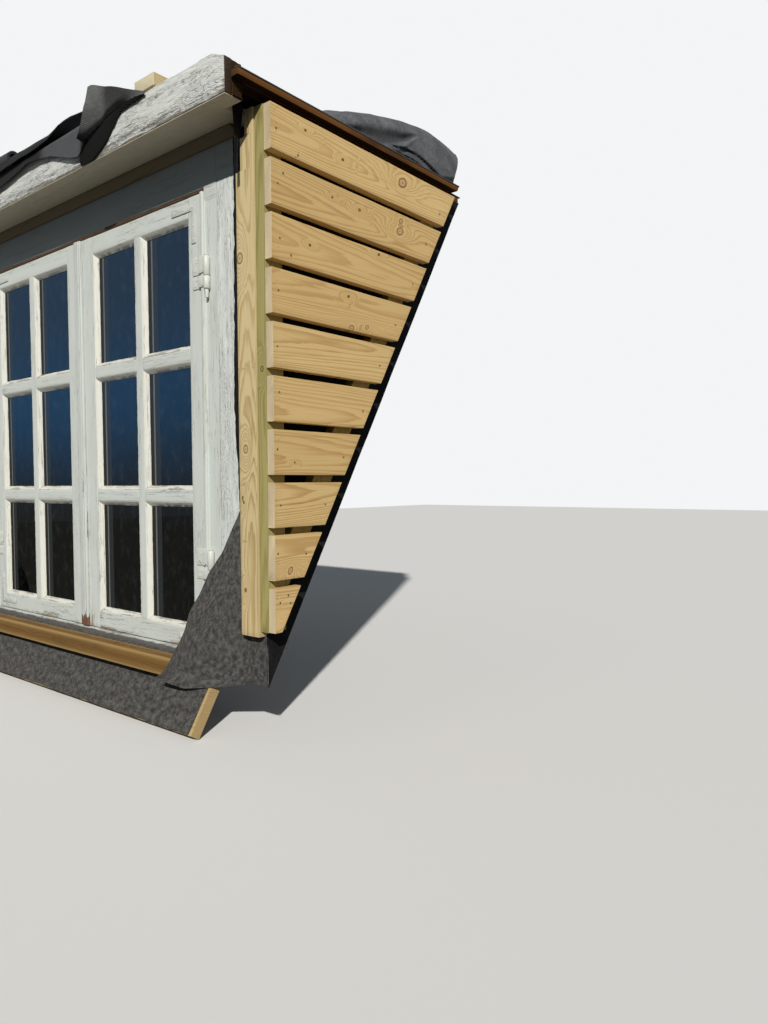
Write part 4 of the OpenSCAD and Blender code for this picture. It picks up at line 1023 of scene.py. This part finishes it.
def patch(shape, thick, p, dark=0.0, pushed=None):
    """Adds a closed thin sheet whose middle is the grid of points p, with dark as its painted shade. Returns its flat
    size and area.
    """
    nu, nv = p.shape[:2]
    du, dv = np.gradient(p, axis=0), np.gradient(p, axis=1)
    n = np.cross(du, dv)
    cell = np.linalg.norm(n, axis=2)
    n /= np.maximum(cell, 1e-9)[..., None]
    if pushed is not None:
        p = p + n * pushed(p)[..., None]
    lu, lv = np.zeros((nu, nv)), np.zeros((nu, nv))
    lu[1:] = np.cumsum(np.linalg.norm(np.diff(p, axis=0), axis=2), axis=0)
    lv[:, 1:] = np.cumsum(np.linalg.norm(np.diff(p, axis=1), axis=2), axis=1)
    top, low = (p + n * thick / 2).reshape(-1, 3), (p - n * thick / 2).reshape(-1, 3)
    ids = np.arange(nu * nv).reshape(nu, nv)
    k = ids.size
    quads = np.stack([ids[:-1, :-1], ids[1:, :-1], ids[1:, 1:], ids[:-1, 1:]], 2).reshape(-1, 4)
    faces = np.stack([quads, k + quads[:, ::-1]], 1).reshape(-1, 4).tolist()
    rim = [*ids[:, 0], *ids[-1, 1:], *ids[-2::-1, -1], *ids[0, -2:0:-1]]
    faces += [[a, k + a, k + b, b] for a, b in zip(rim, rim[1:] + rim[:1])]
    edge = np.zeros(k)
    edge[rim] = 1
    shape.add(np.concatenate([top, low]), faces, wood=np.tile(stack(lu, lv, 0.0).reshape(-1, 3), (2, 1)),
              bare=np.tile(np.broadcast_to(dark, (nu, nv)).ravel(), 2), edge=np.tile(edge, 2))
    cell[[0, -1]] /= 2
    cell[:, [0, -1]] /= 2
    return float(lu[-1].max()), float(lv.max()), float(cell.sum())


def cloth(name, patches, thick, material, replaced, rests, flat=None):
    """One sheet of patches: each a grid of points, and if need be its darkness and a push along its normal."""
    shape = Shape()
    sizes = [patch(shape, thick, *p) for p in patches]
    obj = piece(name, shape, material, replaced, None, 60)
    flat or sizes[0][:2]


def flap(side, name):
    """Grey flap in one piece with the strip that runs on behind the lath."""
    x0, y0, w, h = X_LATH - 0.0003, Y_WRAP - 0.0008, 0.226, 0.440
    turn = math.atan2(Y_WRAP - Y_BATTEN + 0.0006, x0 - X_BATTEN_END)
    foot = Y_WRAP * math.tan(SLOPE) + 0.001 - 0.05 * h
    u, v = mesh_grid(np.linspace(0, 0.985, 46), unit(60))
    top = lerp(u, [(0, 1), (0.13, 0.85), (0.28, 0.69), (0.42, 0.595), (0.52, 0.475), (0.63, 0.39), (0.68, 0.30),
                   (0.75, 0.215), (0.83, 0.145), (0.95, 0.065), (1, 0.045)])
    low = lerp(u, [(0, 0.05), (0.33, 0.02), (0.69, 0.0), (1, 0.035)])
    z = foot + h * (low + (top - low) * v) + 0.006 * ruffle(91, 2, u * 9) * v
    off = (0.0022 + 0.0022 * ruffle(92, 2, u * 3, z * 9)) * smooth(u, 0.0, 0.12)
    off += 0.010 * smooth(v * u, 0.25, 1.0) * smooth(u, 0.3, 0.9)
    off += 0.007 * smooth(z, foot + 0.035, foot) * smooth(u, 0.1, 0.5)
    x = x0 - u * w * math.cos(turn) - off * math.sin(turn)
    plate = stack(side * x, y0 - u * w * math.sin(turn) - off * math.cos(turn), z)
    # Painted shade: a tenth darker next to the lath, low down
    dark = 0.10 * smooth(u, 0.10, 0.0) * smooth(z, 0.2, 0.1)
    t, s = mesh_grid(unit(18), unit(14))
    crease = 0.0011 * np.abs(np.sin(t * 17.0)) * smooth(t, 0.0, 0.1)
    strip = stack(side * (x0 + 0.0004 + t * (X_MEMBRANE - x0 - 0.001)), y0 - crease, 0.0596 + s * 0.108)
    cloth("loose_flap_" + name, [(plate, dark), (strip,)], 0.0013, grey_cloth,
          ("membrane_flap_" + name,), ("corner_trim_" + name,), (0.282, 0.440))


for side, name in SIDES:
    flap(side, name)

# Grey membrane under the sill, behind the batten and over the front plate
S, C = math.sin(SLOPE), math.cos(SLOPE)
APRON_T, PLATE_T, PLATE_D = 0.0015, 0.025, 0.120


def on_slope(a, d):
    """Point at distance a up the roof and d outside it."""
    return a * C - d * S, a * S + d * C


a_high = (Z_BATTEN - APRON_T - PLATE_T * C) / S
bend, foot = (on_slope(a, PLATE_T + APRON_T / 2) for a in (a_high, a_high - PLATE_D))
profile = np.array([(Y_SILL - 0.0004, Z_SILL - 0.0092), (Y_BATTEN_BACK + 0.0010, Z_BATTEN + 0.0425),
                    (Y_BATTEN_BACK + 0.0008, Z_BATTEN + 0.001), bend, foot])
rows = [profile[0]]
for a, b in zip(profile[:-1], profile[1:]):
    k = max(2, int(np.linalg.norm(b - a) / 0.008))
    rows += [a + (b - a) * (i + 1) / k for i in range(k)]
x, y = mesh_grid(np.linspace(-X_FRAME, X_FRAME, 90), np.array(rows)[:, 0])
z = np.broadcast_to(np.array(rows)[:, 1], y.shape)
ripple = 0.0014 * (1 + ruffle(93, 2, x * 14, z * 5)) * smooth(z, Z_BATTEN - 0.004, 0.02)
hem = 0.003 * ruffle(94, 2, x * 20) * smooth(z, foot[1] + 0.02, foot[1])
cloth("apron_sheet", [(stack(x, y - ripple * S, z + ripple * C + np.abs(hem) * S),)], 0.0012, grey_cloth,
      ("apron_membrane",), ("front_sole_plate",))

# Black membrane on the cheeks, slack between the battens, with a strip round each front corner
for side, name in SIDES:
    s, v = mesh_grid(unit(40), unit(60))
    z_low = Y_WRAP * math.tan(SLOPE) + 0.0005
    z = z_low + v * (Z_DECK - z_low)
    y_end = off_roof(z)
    y = Y_WRAP + s * (y_end - Y_WRAP)
    bulge = 0.006 * smooth(y, 0.075, 0.13) * smooth(y_end - y, 0.15, 0.21) + 0.0022 * smooth(y_end - y, 0.066, 0.05)
    slack = 0.5 + 0.5 * ruffle(95, 2, y * 7, z * 9)
    flat_part = stack(side * (X_SHEATHING + 0.0006 + bulge * slack), y, z)
    a, b = mesh_grid(unit(16), np.linspace(0.0615, Z_SOFFIT - 0.001, 150))
    edge_x = lerp(b, [(0.06, 0.654), (0.40, 0.649), (0.50, 0.643), (0.62, 0.636), (0.67, 0.632), (0.885, 0.637),
                      (1.10, 0.640), (1.24, 0.640)])
    torn = 0.0030 * ruffle(96, 3, b * 60) * (1 - a)
    strip = stack(side * (edge_x + (X_SHEATHING - edge_x) * a + torn), Y_WRAP + 0.0004, b)
    cloth("cheek_wrap_" + name, [(flat_part,), (strip,)], 0.0007, black_cloth, ("cheek_membranes",),
          ("cheek_sheathing",), (0.817, 1.21))

# Tail of black membrane at each end of the soffit
for side, name in SIDES:
    width, length = 0.029, 0.150
    v, s = mesh_grid(unit(30), unit(9))
    left = lerp(v, [(0, 0), (0.6, 0.12), (0.94, 0.20), (1, 0.24)])
    right = lerp(v, [(0, 1), (0.35, 0.80), (0.55, 0.56), (0.96, 0.40), (1, 0.36)])
    x = X_SOFFIT + 0.001 + 0.0030 * v * np.sin(s * 3 + v * 4)
    tail = stack(side * x, Y_BOARDS - 0.034 + width * (left + (right - left) * s), Z_DECK - 0.0005 - length * v)
    cloth("corner_tail_" + name, [(tail,)], 0.0012, black_cloth, ("corner_felt",),
          ("deck_boards",), (width, length))

# Felt on the deck
z_felt = Z_FELT + 0.0015
ends = np.array([HALF - 0.0003, HALF - 0.012, HALF - 0.030, X_MEMBRANE + 0.0005, X_MEMBRANE])
x, s = mesh_grid([*-ends, *np.linspace(-0.72, 0.72, 73), *ends[::-1]], unit(60))
y_end = np.where(np.abs(x) > X_MEMBRANE, off_roof(z_felt, BATTEN_D), off_roof(z_felt)) - 0.001
y_start = np.where(np.abs(x) > X_BATTEN, Y_BACKING - 0.005, Y_DECK + 0.001)
y = y_start + s * (y_end - y_start)
inside = HALF - np.abs(x)
lap = 0.0022 * smooth(np.abs((y - 0.27) % 0.5 - 0.25), 0.012, 0.004) * smooth(inside, 0.0, 0.02)
loose = 0.0018 * (1 + ruffle(97, 3, x * 6, y * 9)) * smooth(inside, 0.0, 0.05)
on_deck = stack(x, y, z_felt + loose + lap)

# Felt over the cornice: a lower layer with a wavy hem, and a loose upper layer bunched above it
x, s = mesh_grid(np.linspace(0.023 - HALF, 0.262, 130), unit(40))
hem_z = lerp(x, [(-0.76, 1.290), (-0.52, 1.283), (-0.33, 1.291), (-0.19, 1.288), (-0.10, 1.299), (-0.02, 1.309),
                 (0.04, 1.306), (0.10, 1.297), (0.14, 1.284), (0.20, 1.265), (0.232, 1.260), (0.262, 1.284)])
lip_z = lerp(x, [(-0.76, 1.3315), (0.05, 1.3325), (0.12, 1.337), (0.22, 1.340), (0.262, 1.336)])
y = lerp(s, [(0, Y_DECK - 0.002), (0.12, Y_DECK - 0.003), (0.2, Y_DECK - 0.006), (0.5, Y_FASCIA + 0.004),
             (0.6, Y_FASCIA - 0.006), (1, Y_FASCIA - 0.006)])
y -= smooth(s, 0.45, 1.0) * (0.004 + 0.004 * ruffle(98, 2, x * 16, s * 1.2))
z = np.select([s < 0.2, s < 0.5], [1.2915 + (lip_z - 0.0015 - 1.2915) * s / 0.2,
                                   lip_z - 0.0015 + 0.0015 * np.sin((s - 0.2) / 0.3 * math.pi / 2)],
              lip_z + (hem_z - lip_z) * (s - 0.5) / 0.5)
# Painted shade: the lower layer is near black up to x 0.035 and from x 0.25, fading between 0.035 and 0.075 and between
# 0.235 and 0.25
under = stack(x, y, z), np.clip(0.92 * smooth(x, 0.075, 0.035) + 0.9 * smooth(x, 0.235, 0.25), 0, 1)

x, s = mesh_grid(np.linspace(0.023 - HALF, 0.302, 130), unit(40))
crest = lerp(x, [(-0.76, 1.366), (-0.50, 1.374), (-0.30, 1.366), (-0.12, 1.364), (0.0, 1.362), (0.10, 1.362),
                 (0.18, 1.372), (0.23, 1.368), (0.284, 1.356), (0.302, 1.346)])
lip_z = lerp(x, [(-0.76, 1.318), (-0.50, 1.312), (-0.2, 1.322), (0.02, 1.330), (0.08, 1.338), (0.13, 1.362),
                 (0.18, 1.371), (0.23, 1.366), (0.284, 1.352), (0.302, 1.342)])
lip_y = lerp(x, [(-0.76, -0.099), (-0.4, -0.100), (0.02, -0.097), (0.10, -0.088), (0.18, -0.078), (0.284, -0.076)])
arc, rumple = s * math.pi, 0.004 * ruffle(99, 2, x * 13, s * 3.5)
y = -0.062 + np.where(s < 0.5, 0.026, -0.062 - lip_y) * np.cos(arc) + rumple * np.sin(arc)
low = np.where(s < 0.5, 1.3335, lip_z)
z = low + (crest - low) * np.sin(arc) + rumple * smooth(s, 0.1, 0.4)
# Painted shade: the upper layer is near black up to x 0.06, fading out by 0.16, and at its right end
over = stack(x, y, z), np.clip(0.85 * smooth(x, 0.16, 0.06) + 0.9 * smooth(x, 0.282, 0.292), 0, 1)

# Spiral roll that ends on the left
x, s = mesh_grid(np.linspace(0.023 - HALF, -0.112, 60), unit(60))
angle = s * 2 * math.pi * 1.8 + 0.6
radius = 0.019 - 0.009 * s + 0.0022 * ruffle(101, 2, x * 9, s * 4)
roll = stack(x, radius * np.cos(angle) - 0.080, 1.3535 + radius * 1.1 * np.sin(angle) + 0.005 * ruffle(102, 1, x * 5))
# Painted shade: the roll is drawn a third of the way to black
cloth("deck_felt", [(on_deck,), under, over, (roll, 0.35)], 0.0022, felt, ("roof_felt",),
      ("deck_boards",), (1.555, 1.05))

# Folded corner of the felt: a ribbed loop in a lighter copy of the felt, a painted highlight, with painted shade on its
# right part, its lower left and along its lower edge, and behind it the tongue that hangs down, painted black as shade
x, v = mesh_grid(np.linspace(0.259, 0.498, 50), unit(30))
top = lerp(x, [(0.258, 1.285), (0.270, 1.301), (0.279, 1.319), (0.287, 1.347), (0.297, 1.366), (0.300, 1.389),
               (0.311, 1.393), (0.322, 1.391), (0.347, 1.383), (0.372, 1.373), (0.433, 1.349), (0.498, 1.3235)])
low = lerp(x, [(0.258, 1.2825), (0.310, 1.300), (0.354, 1.3165), (0.403, 1.3215), (0.424, 1.3235), (0.463, 1.3225),
               (0.498, 1.3185)])
z = low + (top - low) * v
y = -0.0865 - 0.022 * smooth(x, 0.352, 0.280) * (0.25 + 0.75 * v) + 0.0022 * ruffle(103, 2, x * 30, z * 20)
y -= 0.009 * np.sin(math.pi * np.clip((x - 0.345) / 0.11, 0, 1)) * v
dark = 0.62 * smooth(x, 0.320, 0.355) * smooth(x, 0.50, 0.43) + 0.45 * smooth(x, 0.345, 0.315) * smooth(z, 1.372, 1.335)
dark += 0.85 * smooth(z - low, 0.020, 0.0) * smooth(x, 0.460, 0.38)
loop = stack(x, y, z), np.clip(dark, 0, 1)
x, v = mesh_grid(np.linspace(0.231, 0.494, 54), unit(16))
top = lerp(x, [(0.231, 1.262), (0.240, 1.290), (0.255, 1.316), (0.275, 1.329), (0.310, 1.331), (0.403, 1.335),
               (0.440, 1.334), (0.470, 1.329), (0.494, 1.3225)])
low = lerp(x, [(0.231, 1.241), (0.253, 1.237), (0.280, 1.241), (0.325, 1.257), (0.360, 1.279), (0.388, 1.303),
               (0.403, 1.311), (0.430, 1.3135), (0.470, 1.3150), (0.494, 1.3185)])
tongue = stack(x, -0.0825 - 0.003 * np.sin(v * math.pi), low + (top - low) * v)
cloth("felt_fold", [loop, (tongue, 1.0)], 0.0018, felt_painted_lit, (), ("cornice_fascia",),
      (0.24, 0.16))

# Loose grey sheet in a hump on the deck's rear, whose rounded ends come down to the deck
X_HUMP, R_HUMP, Z0 = 0.7575, 0.050, 1.2902
END = 0.0833  # share of the width that each end takes
y0, y_lean = 0.135, off_roof(Z0 + 0.104, BATTEN_D)
HEIGHT = [(0.05, -0.05), (y0, 0), (0.18, 0.022), (0.244, 0.048), (0.33, 0.077), (0.41, 0.100), (0.474, 0.115),
          (0.564, 0.134), (0.612, 0.141), (0.66, 0.142), (0.718, 0.135), (y_lean, 0.124), (0.85, 0.108)]
t, s = mesh_grid([*np.linspace(0, END, 16), *np.linspace(0.11, 0.89, 40), *np.linspace(1 - END, 1, 72)], unit(170))
y = lerp(s, [(0, y0), (0.72, y0 + 0.76 * (y_lean - y0)), (1, y_lean)])
h = np.clip(sum(lerp(y + d, HEIGHT) for d in np.linspace(-0.03, 0.03, 9)) / 9, 0, 1)
turn_r, turn_l = (np.clip(q / END, 0, 1) * math.pi / 2 for q in (t - 1 + END, END - t))
x = (X_HUMP - R_HUMP) * (np.clip((t - END) / (1 - 2 * END), 0, 1) * 2 - 1) + R_HUMP * (np.sin(turn_r) - np.sin(turn_l))
z = Z0 + 0.0012 + h * np.cos(turn_r) * np.cos(turn_l)
y -= smooth(s, 0.45, 1.0) * np.clip(Z0 + 0.124 - z, 0, 1) / math.tan(SLOPE)
hump = stack(x, y, z)


def hollow_at(y, z):
    """Place across the long hollow on the flank: 0 in its middle, 1 at its edges."""
    middle = lerp(y, [(0.26, 1.302), (0.30, 1.308), (0.35, 1.319), (0.40, 1.328), (0.457, 1.346), (0.50, 1.360),
                      (0.54, 1.3785), (0.60, 1.400)])
    half = lerp(y, [(0.26, 0.002), (0.29, 0.007), (0.35, 0.016), (0.40, 0.021), (0.457, 0.017), (0.50, 0.011),
                    (0.55, 0.004), (0.60, 0.001)])
    return (z - middle) / half


def hems(y):
    """Heights of the two lapped hems."""
    return (lerp(y, [(0.40, 1.312), (0.454, 1.317), (0.498, 1.327), (0.544, 1.329), (0.582, 1.322), (0.611, 1.312),
                     (0.635, 1.302), (0.67, 1.286)]),
            lerp(y, [(0.40, 1.303), (0.476, 1.309), (0.517, 1.313), (0.549, 1.310), (0.585, 1.302), (0.62, 1.288)]))


def hump_push(p):
    """Soft folds, a hollow on the flank and two lapped hems at its lower rear."""
    y, z = p[..., 1], p[..., 2]
    soft = 0.0030 * swell(p, (7, 8, 14), 104, 3) - 0.0025 * np.abs(swell(p, (12, 9, 26), 107, 2))
    across = hollow_at(y, z)
    form = -0.012 * np.exp(-(across / 0.9) ** 2) * smooth(y, 0.26, 0.33) * smooth(y, 0.57, 0.50)
    form += 0.004 * np.exp(-((across + 1.9) / 0.6) ** 2) * smooth(y, 0.36, 0.42) * smooth(y, 0.57, 0.5)
    hem1, hem2 = hems(y)
    form -= 0.0060 * smooth(z, hem1 + 0.0012, hem1 - 0.0012) * smooth(y, 0.41, 0.46)
    form -= 0.0050 * smooth(z, hem2 + 0.0012, hem2 - 0.0012) * smooth(y, 0.43, 0.48) * smooth(z, Z0 + 0.004, Z0 + 0.010)
    return (soft + smooth(np.abs(p[..., 0]), 0.66, 0.72) * form) * smooth(z, Z0, Z0 + 0.012)


# Painted shade near the sheet's ends: dark bands under the two hems, a ribbed dark band along the hollow, and a dark
# zone under the rear end
hem1, hem2 = hems(y)
wide = 0.0013 + 0.0040 * smooth(y, 0.54, 0.64)
dark = np.exp(-((z - hem1 + 0.001) / wide) ** 2) * smooth(y, 0.44, 0.49)
dark += np.exp(-((z - hem2 + 0.001) / wide) ** 2) * smooth(y, 0.455, 0.50)
ribs = 0.10 * np.sin((1.25 * y + z) * 2 * math.pi / 0.0115)
dark += (0.62 + ribs) * smooth(np.abs(hollow_at(y, z)), 1.25, 0.55) * smooth(y, 0.25, 0.31) * smooth(y, 0.58, 0.52)
rear_hem = np.maximum(hem1, 1.302 + 0.26 * (y - 0.635))
dark += 0.9 * smooth(y, 0.60, 0.64) * smooth(z, rear_hem + 0.003, rear_hem - 0.002)
dark = np.clip(smooth(np.abs(x), 0.70, 0.735) * dark, 0, 1)
# The rear hem turns down along the main roof, drawn three tenths of the way to black as painted shade
rear = hump[(t[:, 0] > 0.007) & (t[:, 0] < 0.993), -1][:, None]
start, end = rear + (0, -0.0022, 0), rear * (1, 0, 0) + (0, off_roof(Z0, BATTEN_D) - 0.005, Z0 + 0.006)
tuck = start + (end - start) * unit(14)[None, :, None]
cloth("rear_sheet", [(hump, dark, hump_push), (tuck, 0.3)], 0.0016, hump_cloth, ("rear_membrane",),
      ("deck_felt",), (1.72, 0.80))

# ---------------------------------------------------------------- small timber
shape = Shape()
section = rect(Y_BATTEN, Y_BATTEN_BACK - 0.0003, Z_BATTEN, Z_BATTEN + 0.0427)
beam(shape, "x", -X_BATTEN_END, X_BATTEN_END, section, 0.002, 0.006, 0.014, pith=(0.012, -0.045), tone=0.4,
     knots=[(0.72, 0.004, 0.006), (0.33, -0.006, 0.005), (0.10, 0.003, 0.004)])
piece("sill_lath", shape, orange, ("sill_batten",), lambda v, n, at:
      -0.0004 + 0.0004 * noise(v, (6, 60, 60), 111, 2) - 0.0004 * at["endg"])

shape = Shape()
x1, z1 = HALF - 0.287 - 0.55 * 0.073, Z_FASCIA + 0.003
beam(shape, "y", Y_FASCIA, Y_FASCIA + 0.045, rect(x1, x1 + 0.073, z1, z1 + 0.029), 0.002, 0.006, 0.01,
     pith=(0.005, 0.05), tone=0.1)
piece("lath_end", shape, lath_pine, ("pine_block",), lambda v, n, at:
      -0.0006 + 0.0004 * noise(v, (60, 10, 60), 112, 2) - 0.0005 * at["endg"])


# ---------------------------------------------------------------- fittings
def screw(shape, at, r=0.0028):
    """A slotted screw head on a face that looks along -Y."""
    turned(shape, at, [(-0.0003, r), (0.0005, r), (0.0009, 0.8 * r), (0.0004, 0.5 * r)], 1, -1, 14, 0.6)


# Hinges of two knuckles and a pin between them, with their leaves on sash and bead
BEVEL, LEAF, SPLIT = 0.0006, 0.0016, 0.048
KNUCKLE_R, KNUCKLE_H, LEAF_W, LEAF_H = 0.0075, 0.096, 0.030, 0.071
KNUCKLES = (
    [(0, 0.0034), (0.004, 0.0040), (0.014, 0.0044), (0.019, 0.0042), (0.0195, 0.0068), (0.0205, KNUCKLE_R),
     (SPLIT - 0.0012, KNUCKLE_R), (SPLIT - 0.0006, KNUCKLE_R - 0.0006)],
    [(SPLIT + 0.0006, KNUCKLE_R - 0.0006), (SPLIT + 0.0012, KNUCKLE_R), (KNUCKLE_H - 0.0060, KNUCKLE_R),
     (KNUCKLE_H - 0.0050, KNUCKLE_R - 0.0006), (KNUCKLE_H - 0.0040, 0.0040), (KNUCKLE_H - 0.0014, 0.0050),
     (KNUCKLE_H, 0.0034)],
    [(SPLIT - 0.0014, 0.0050), (SPLIT + 0.0014, 0.0050)])
xk, yk, y_bead = X_SASH + 0.018 + KNUCKLE_R, Y_CASING + 0.002 - KNUCKLE_R, Y_CASING - 0.005
plates = ((X_SASH - LEAF_W, X_SASH - GAP, Y_CASING - LEAF, Y_CASING, 0.0),
          (X_SASH - 0.0030, X_SASH - 0.0016, y_bead, Y_CASING, 0.001),
          (X_SASH - 0.0030, xk - 0.001, y_bead - LEAF, y_bead, 0.001))
shape, screws = Shape(), Shape()
for side, _ in SIDES:
    for z in (Z_SILL + GAP + 0.140, Z_SASH_TOP - GAP - 0.140 - KNUCKLE_H):
        for rows in KNUCKLES:
            turned(shape, (side * xk, yk, z), rows, 2, edge=0.5)
        z_leaf = z + KNUCKLE_H - LEAF_H
        for z1, z2 in ((z_leaf, z_leaf + 0.028), (z_leaf + 0.031, z + KNUCKLE_H)):
            for x1, x2, y1, y2, cut in plates:
                xa, xb = sorted((side * x1, side * x2))
                prism(shape, outline(rect(xa, xb, y1, y2), r=BEVEL, step=0.006), z2 - z1 - 2 * cut,
                      along("z", z1 + cut), np.random.default_rng(3), step=0.01, r=BEVEL)
            for share, x in ((0.28, 0.009), (0.72, 0.016)):
                screw(screws, (side * (X_SASH - LEAF_W + x), Y_CASING - 0.0018, z1 + (z2 - z1) * share))
piece("hinge_parts", shape, steel, ("hinges",), lambda v, n, at: 0.0002 * noise(v, 160, 121, 2), 50)

shape = Shape()
arm, width, inset = 0.090, 0.016, 0.016
x2 = X_SASH - GAP - inset
for side, _ in SIDES:
    for zc, s in ((Z_SASH_TOP - GAP - inset, -1), (Z_SILL + GAP + inset, 1)):
        corner = [(x2, 0), (x2 - arm, 0), (x2 - arm, width), (x2 - width, width), (x2 - width, arm), (x2, arm)]
        prism(shape, outline([(side * a, zc + s * b) for a, b in corner], r=0.002, step=0.006), 0.002,
              lambda a, b, t: (a, Y_CASING + 0.0002 - t, b), rng, step=0.002, r=BEVEL)
        half = width / 2
        for dx, dz in ((0.012, half), (0.045, half), (0.078, half), (half, 0.050), (half, 0.080)):
            screw(screws, (side * (x2 - dx), Y_CASING - 0.0019, zc + s * dz), 0.0026)
piece("angle_irons", shape, sash_paint, ("corner_irons",), lambda v, n, at:
      0.0002 * noise(v, 120, 122, 2), 50)
piece("fitting_screws", screws, steel, angle=50)


# ---------------------------------------------------------------- camera, light, floor
def seen(m, lit, shown):
    """Ends a material or world with what lights the part, or with what camera, glossy and clear rays see."""
    camera, glossy, clear = (m.node("LightPath", out="Is %s Ray" % k) for k in ("Camera", "Glossy", "Transmission"))
    return m.done(m.node("MixShader", m.math("MAXIMUM", m.math("MAXIMUM", camera, glossy), clear), lit, shown))


def stage():
    low = min(cad_low.z, 0) - 0.001
    size, back = 9.0, 14.0
    corners = [(x, y, low) for x, y in rect(-size, size, -size, back)]
    mesh = bpy.data.meshes.new("floor")
    mesh.from_pydata(corners, [], [[0, 1, 2, 3]])
    floor = bpy.data.objects.new("floor", mesh)
    bpy.context.scene.collection.objects.link(floor)
    m = Mat("floor_pale")
    mesh.materials.append(seen(m, m.node("BsdfDiffuse", (0.15, 0.15, 0.15)), m.node("BsdfDiffuse", (0.84, 0.84, 0.83))))
    floor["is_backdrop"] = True

    world = bpy.data.worlds.new("studio")
    bpy.context.scene.world = world
    m = Mat(None, world)
    seen(m, m.node("Background", (0.80, 0.90, 1.0), 0.14), m.node("Background", (0.90, 0.91, 0.92), 1.0))

    # Key light from the front left, about 30 degrees up, as the sun stands in the photo
    az, el = math.radians(41), math.radians(31.5)
    toward = Vector((-math.sin(az) * math.cos(el), math.cos(az) * math.cos(el), -math.sin(el)))
    lamp = bpy.data.lights.new("key", "SUN")
    lamp.energy, lamp.angle, lamp.color = 3.9, math.radians(1.3), (1.0, 0.965, 0.91)
    key = bpy.data.objects.new("key", lamp)
    key.rotation_mode = "QUATERNION"
    key.rotation_quaternion = toward.to_track_quat("-Z", "Y")
    bpy.context.scene.collection.objects.link(key)


def camera():
    """The camera as it was fitted to the photo."""
    yaw, pitch, roll = math.radians(39.2), math.radians(-2.268), math.radians(0.346)
    forward = Vector((-math.sin(yaw) * math.cos(pitch), math.cos(yaw) * math.cos(pitch), math.sin(pitch)))
    right = Vector((math.cos(yaw), math.sin(yaw), 0))
    down = forward.cross(right)
    rolled_right = right * math.cos(roll) + down * math.sin(roll)
    rolled_down = -right * math.sin(roll) + down * math.cos(roll)
    cam = bpy.data.cameras.new("camera")
    cam.sensor_fit, cam.sensor_width = "AUTO", 36
    cam.lens = 745.26 / 1024 * 36
    cam.clip_start, cam.clip_end = 0.05, 60
    obj = bpy.data.objects.new("camera", cam)
    rot = Matrix((rolled_right, -rolled_down, -forward)).transposed().to_4x4()
    obj.matrix_world = Matrix.Translation((1.9091, -1.0196, 0.4908)) @ rot
    bpy.context.scene.collection.objects.link(obj)
    bpy.context.scene.camera = obj


# ---------------------------------------------------------------- the CAD nodes that stay
kept = (
    (green_slope, ("slope_battens",)),
    (sash_paint, ("frame_head", "window_board")),
    (glass, ("panes_left", "panes_right")),
    (timber["x"], ("header_beam", "roof_ledger", "ceiling_lining", "front_sole_plate")),
    (timber["y"], ("cheek_sheathing", "top_plates", "sole_plates", "cheek_lining_left", "cheek_lining_right",
                   "roof_beams")),
    (timber["z"], ("corner_posts", "cheek_studs")),
)
for material, names in kept:
    for name in names:
        obj = nodes[name]
        if not obj.hide_render:
            obj.data.materials.clear()
            obj.data.materials.append(material)

stage()
camera()
bpy.context.scene.view_settings.view_transform = "Standard"
low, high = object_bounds()
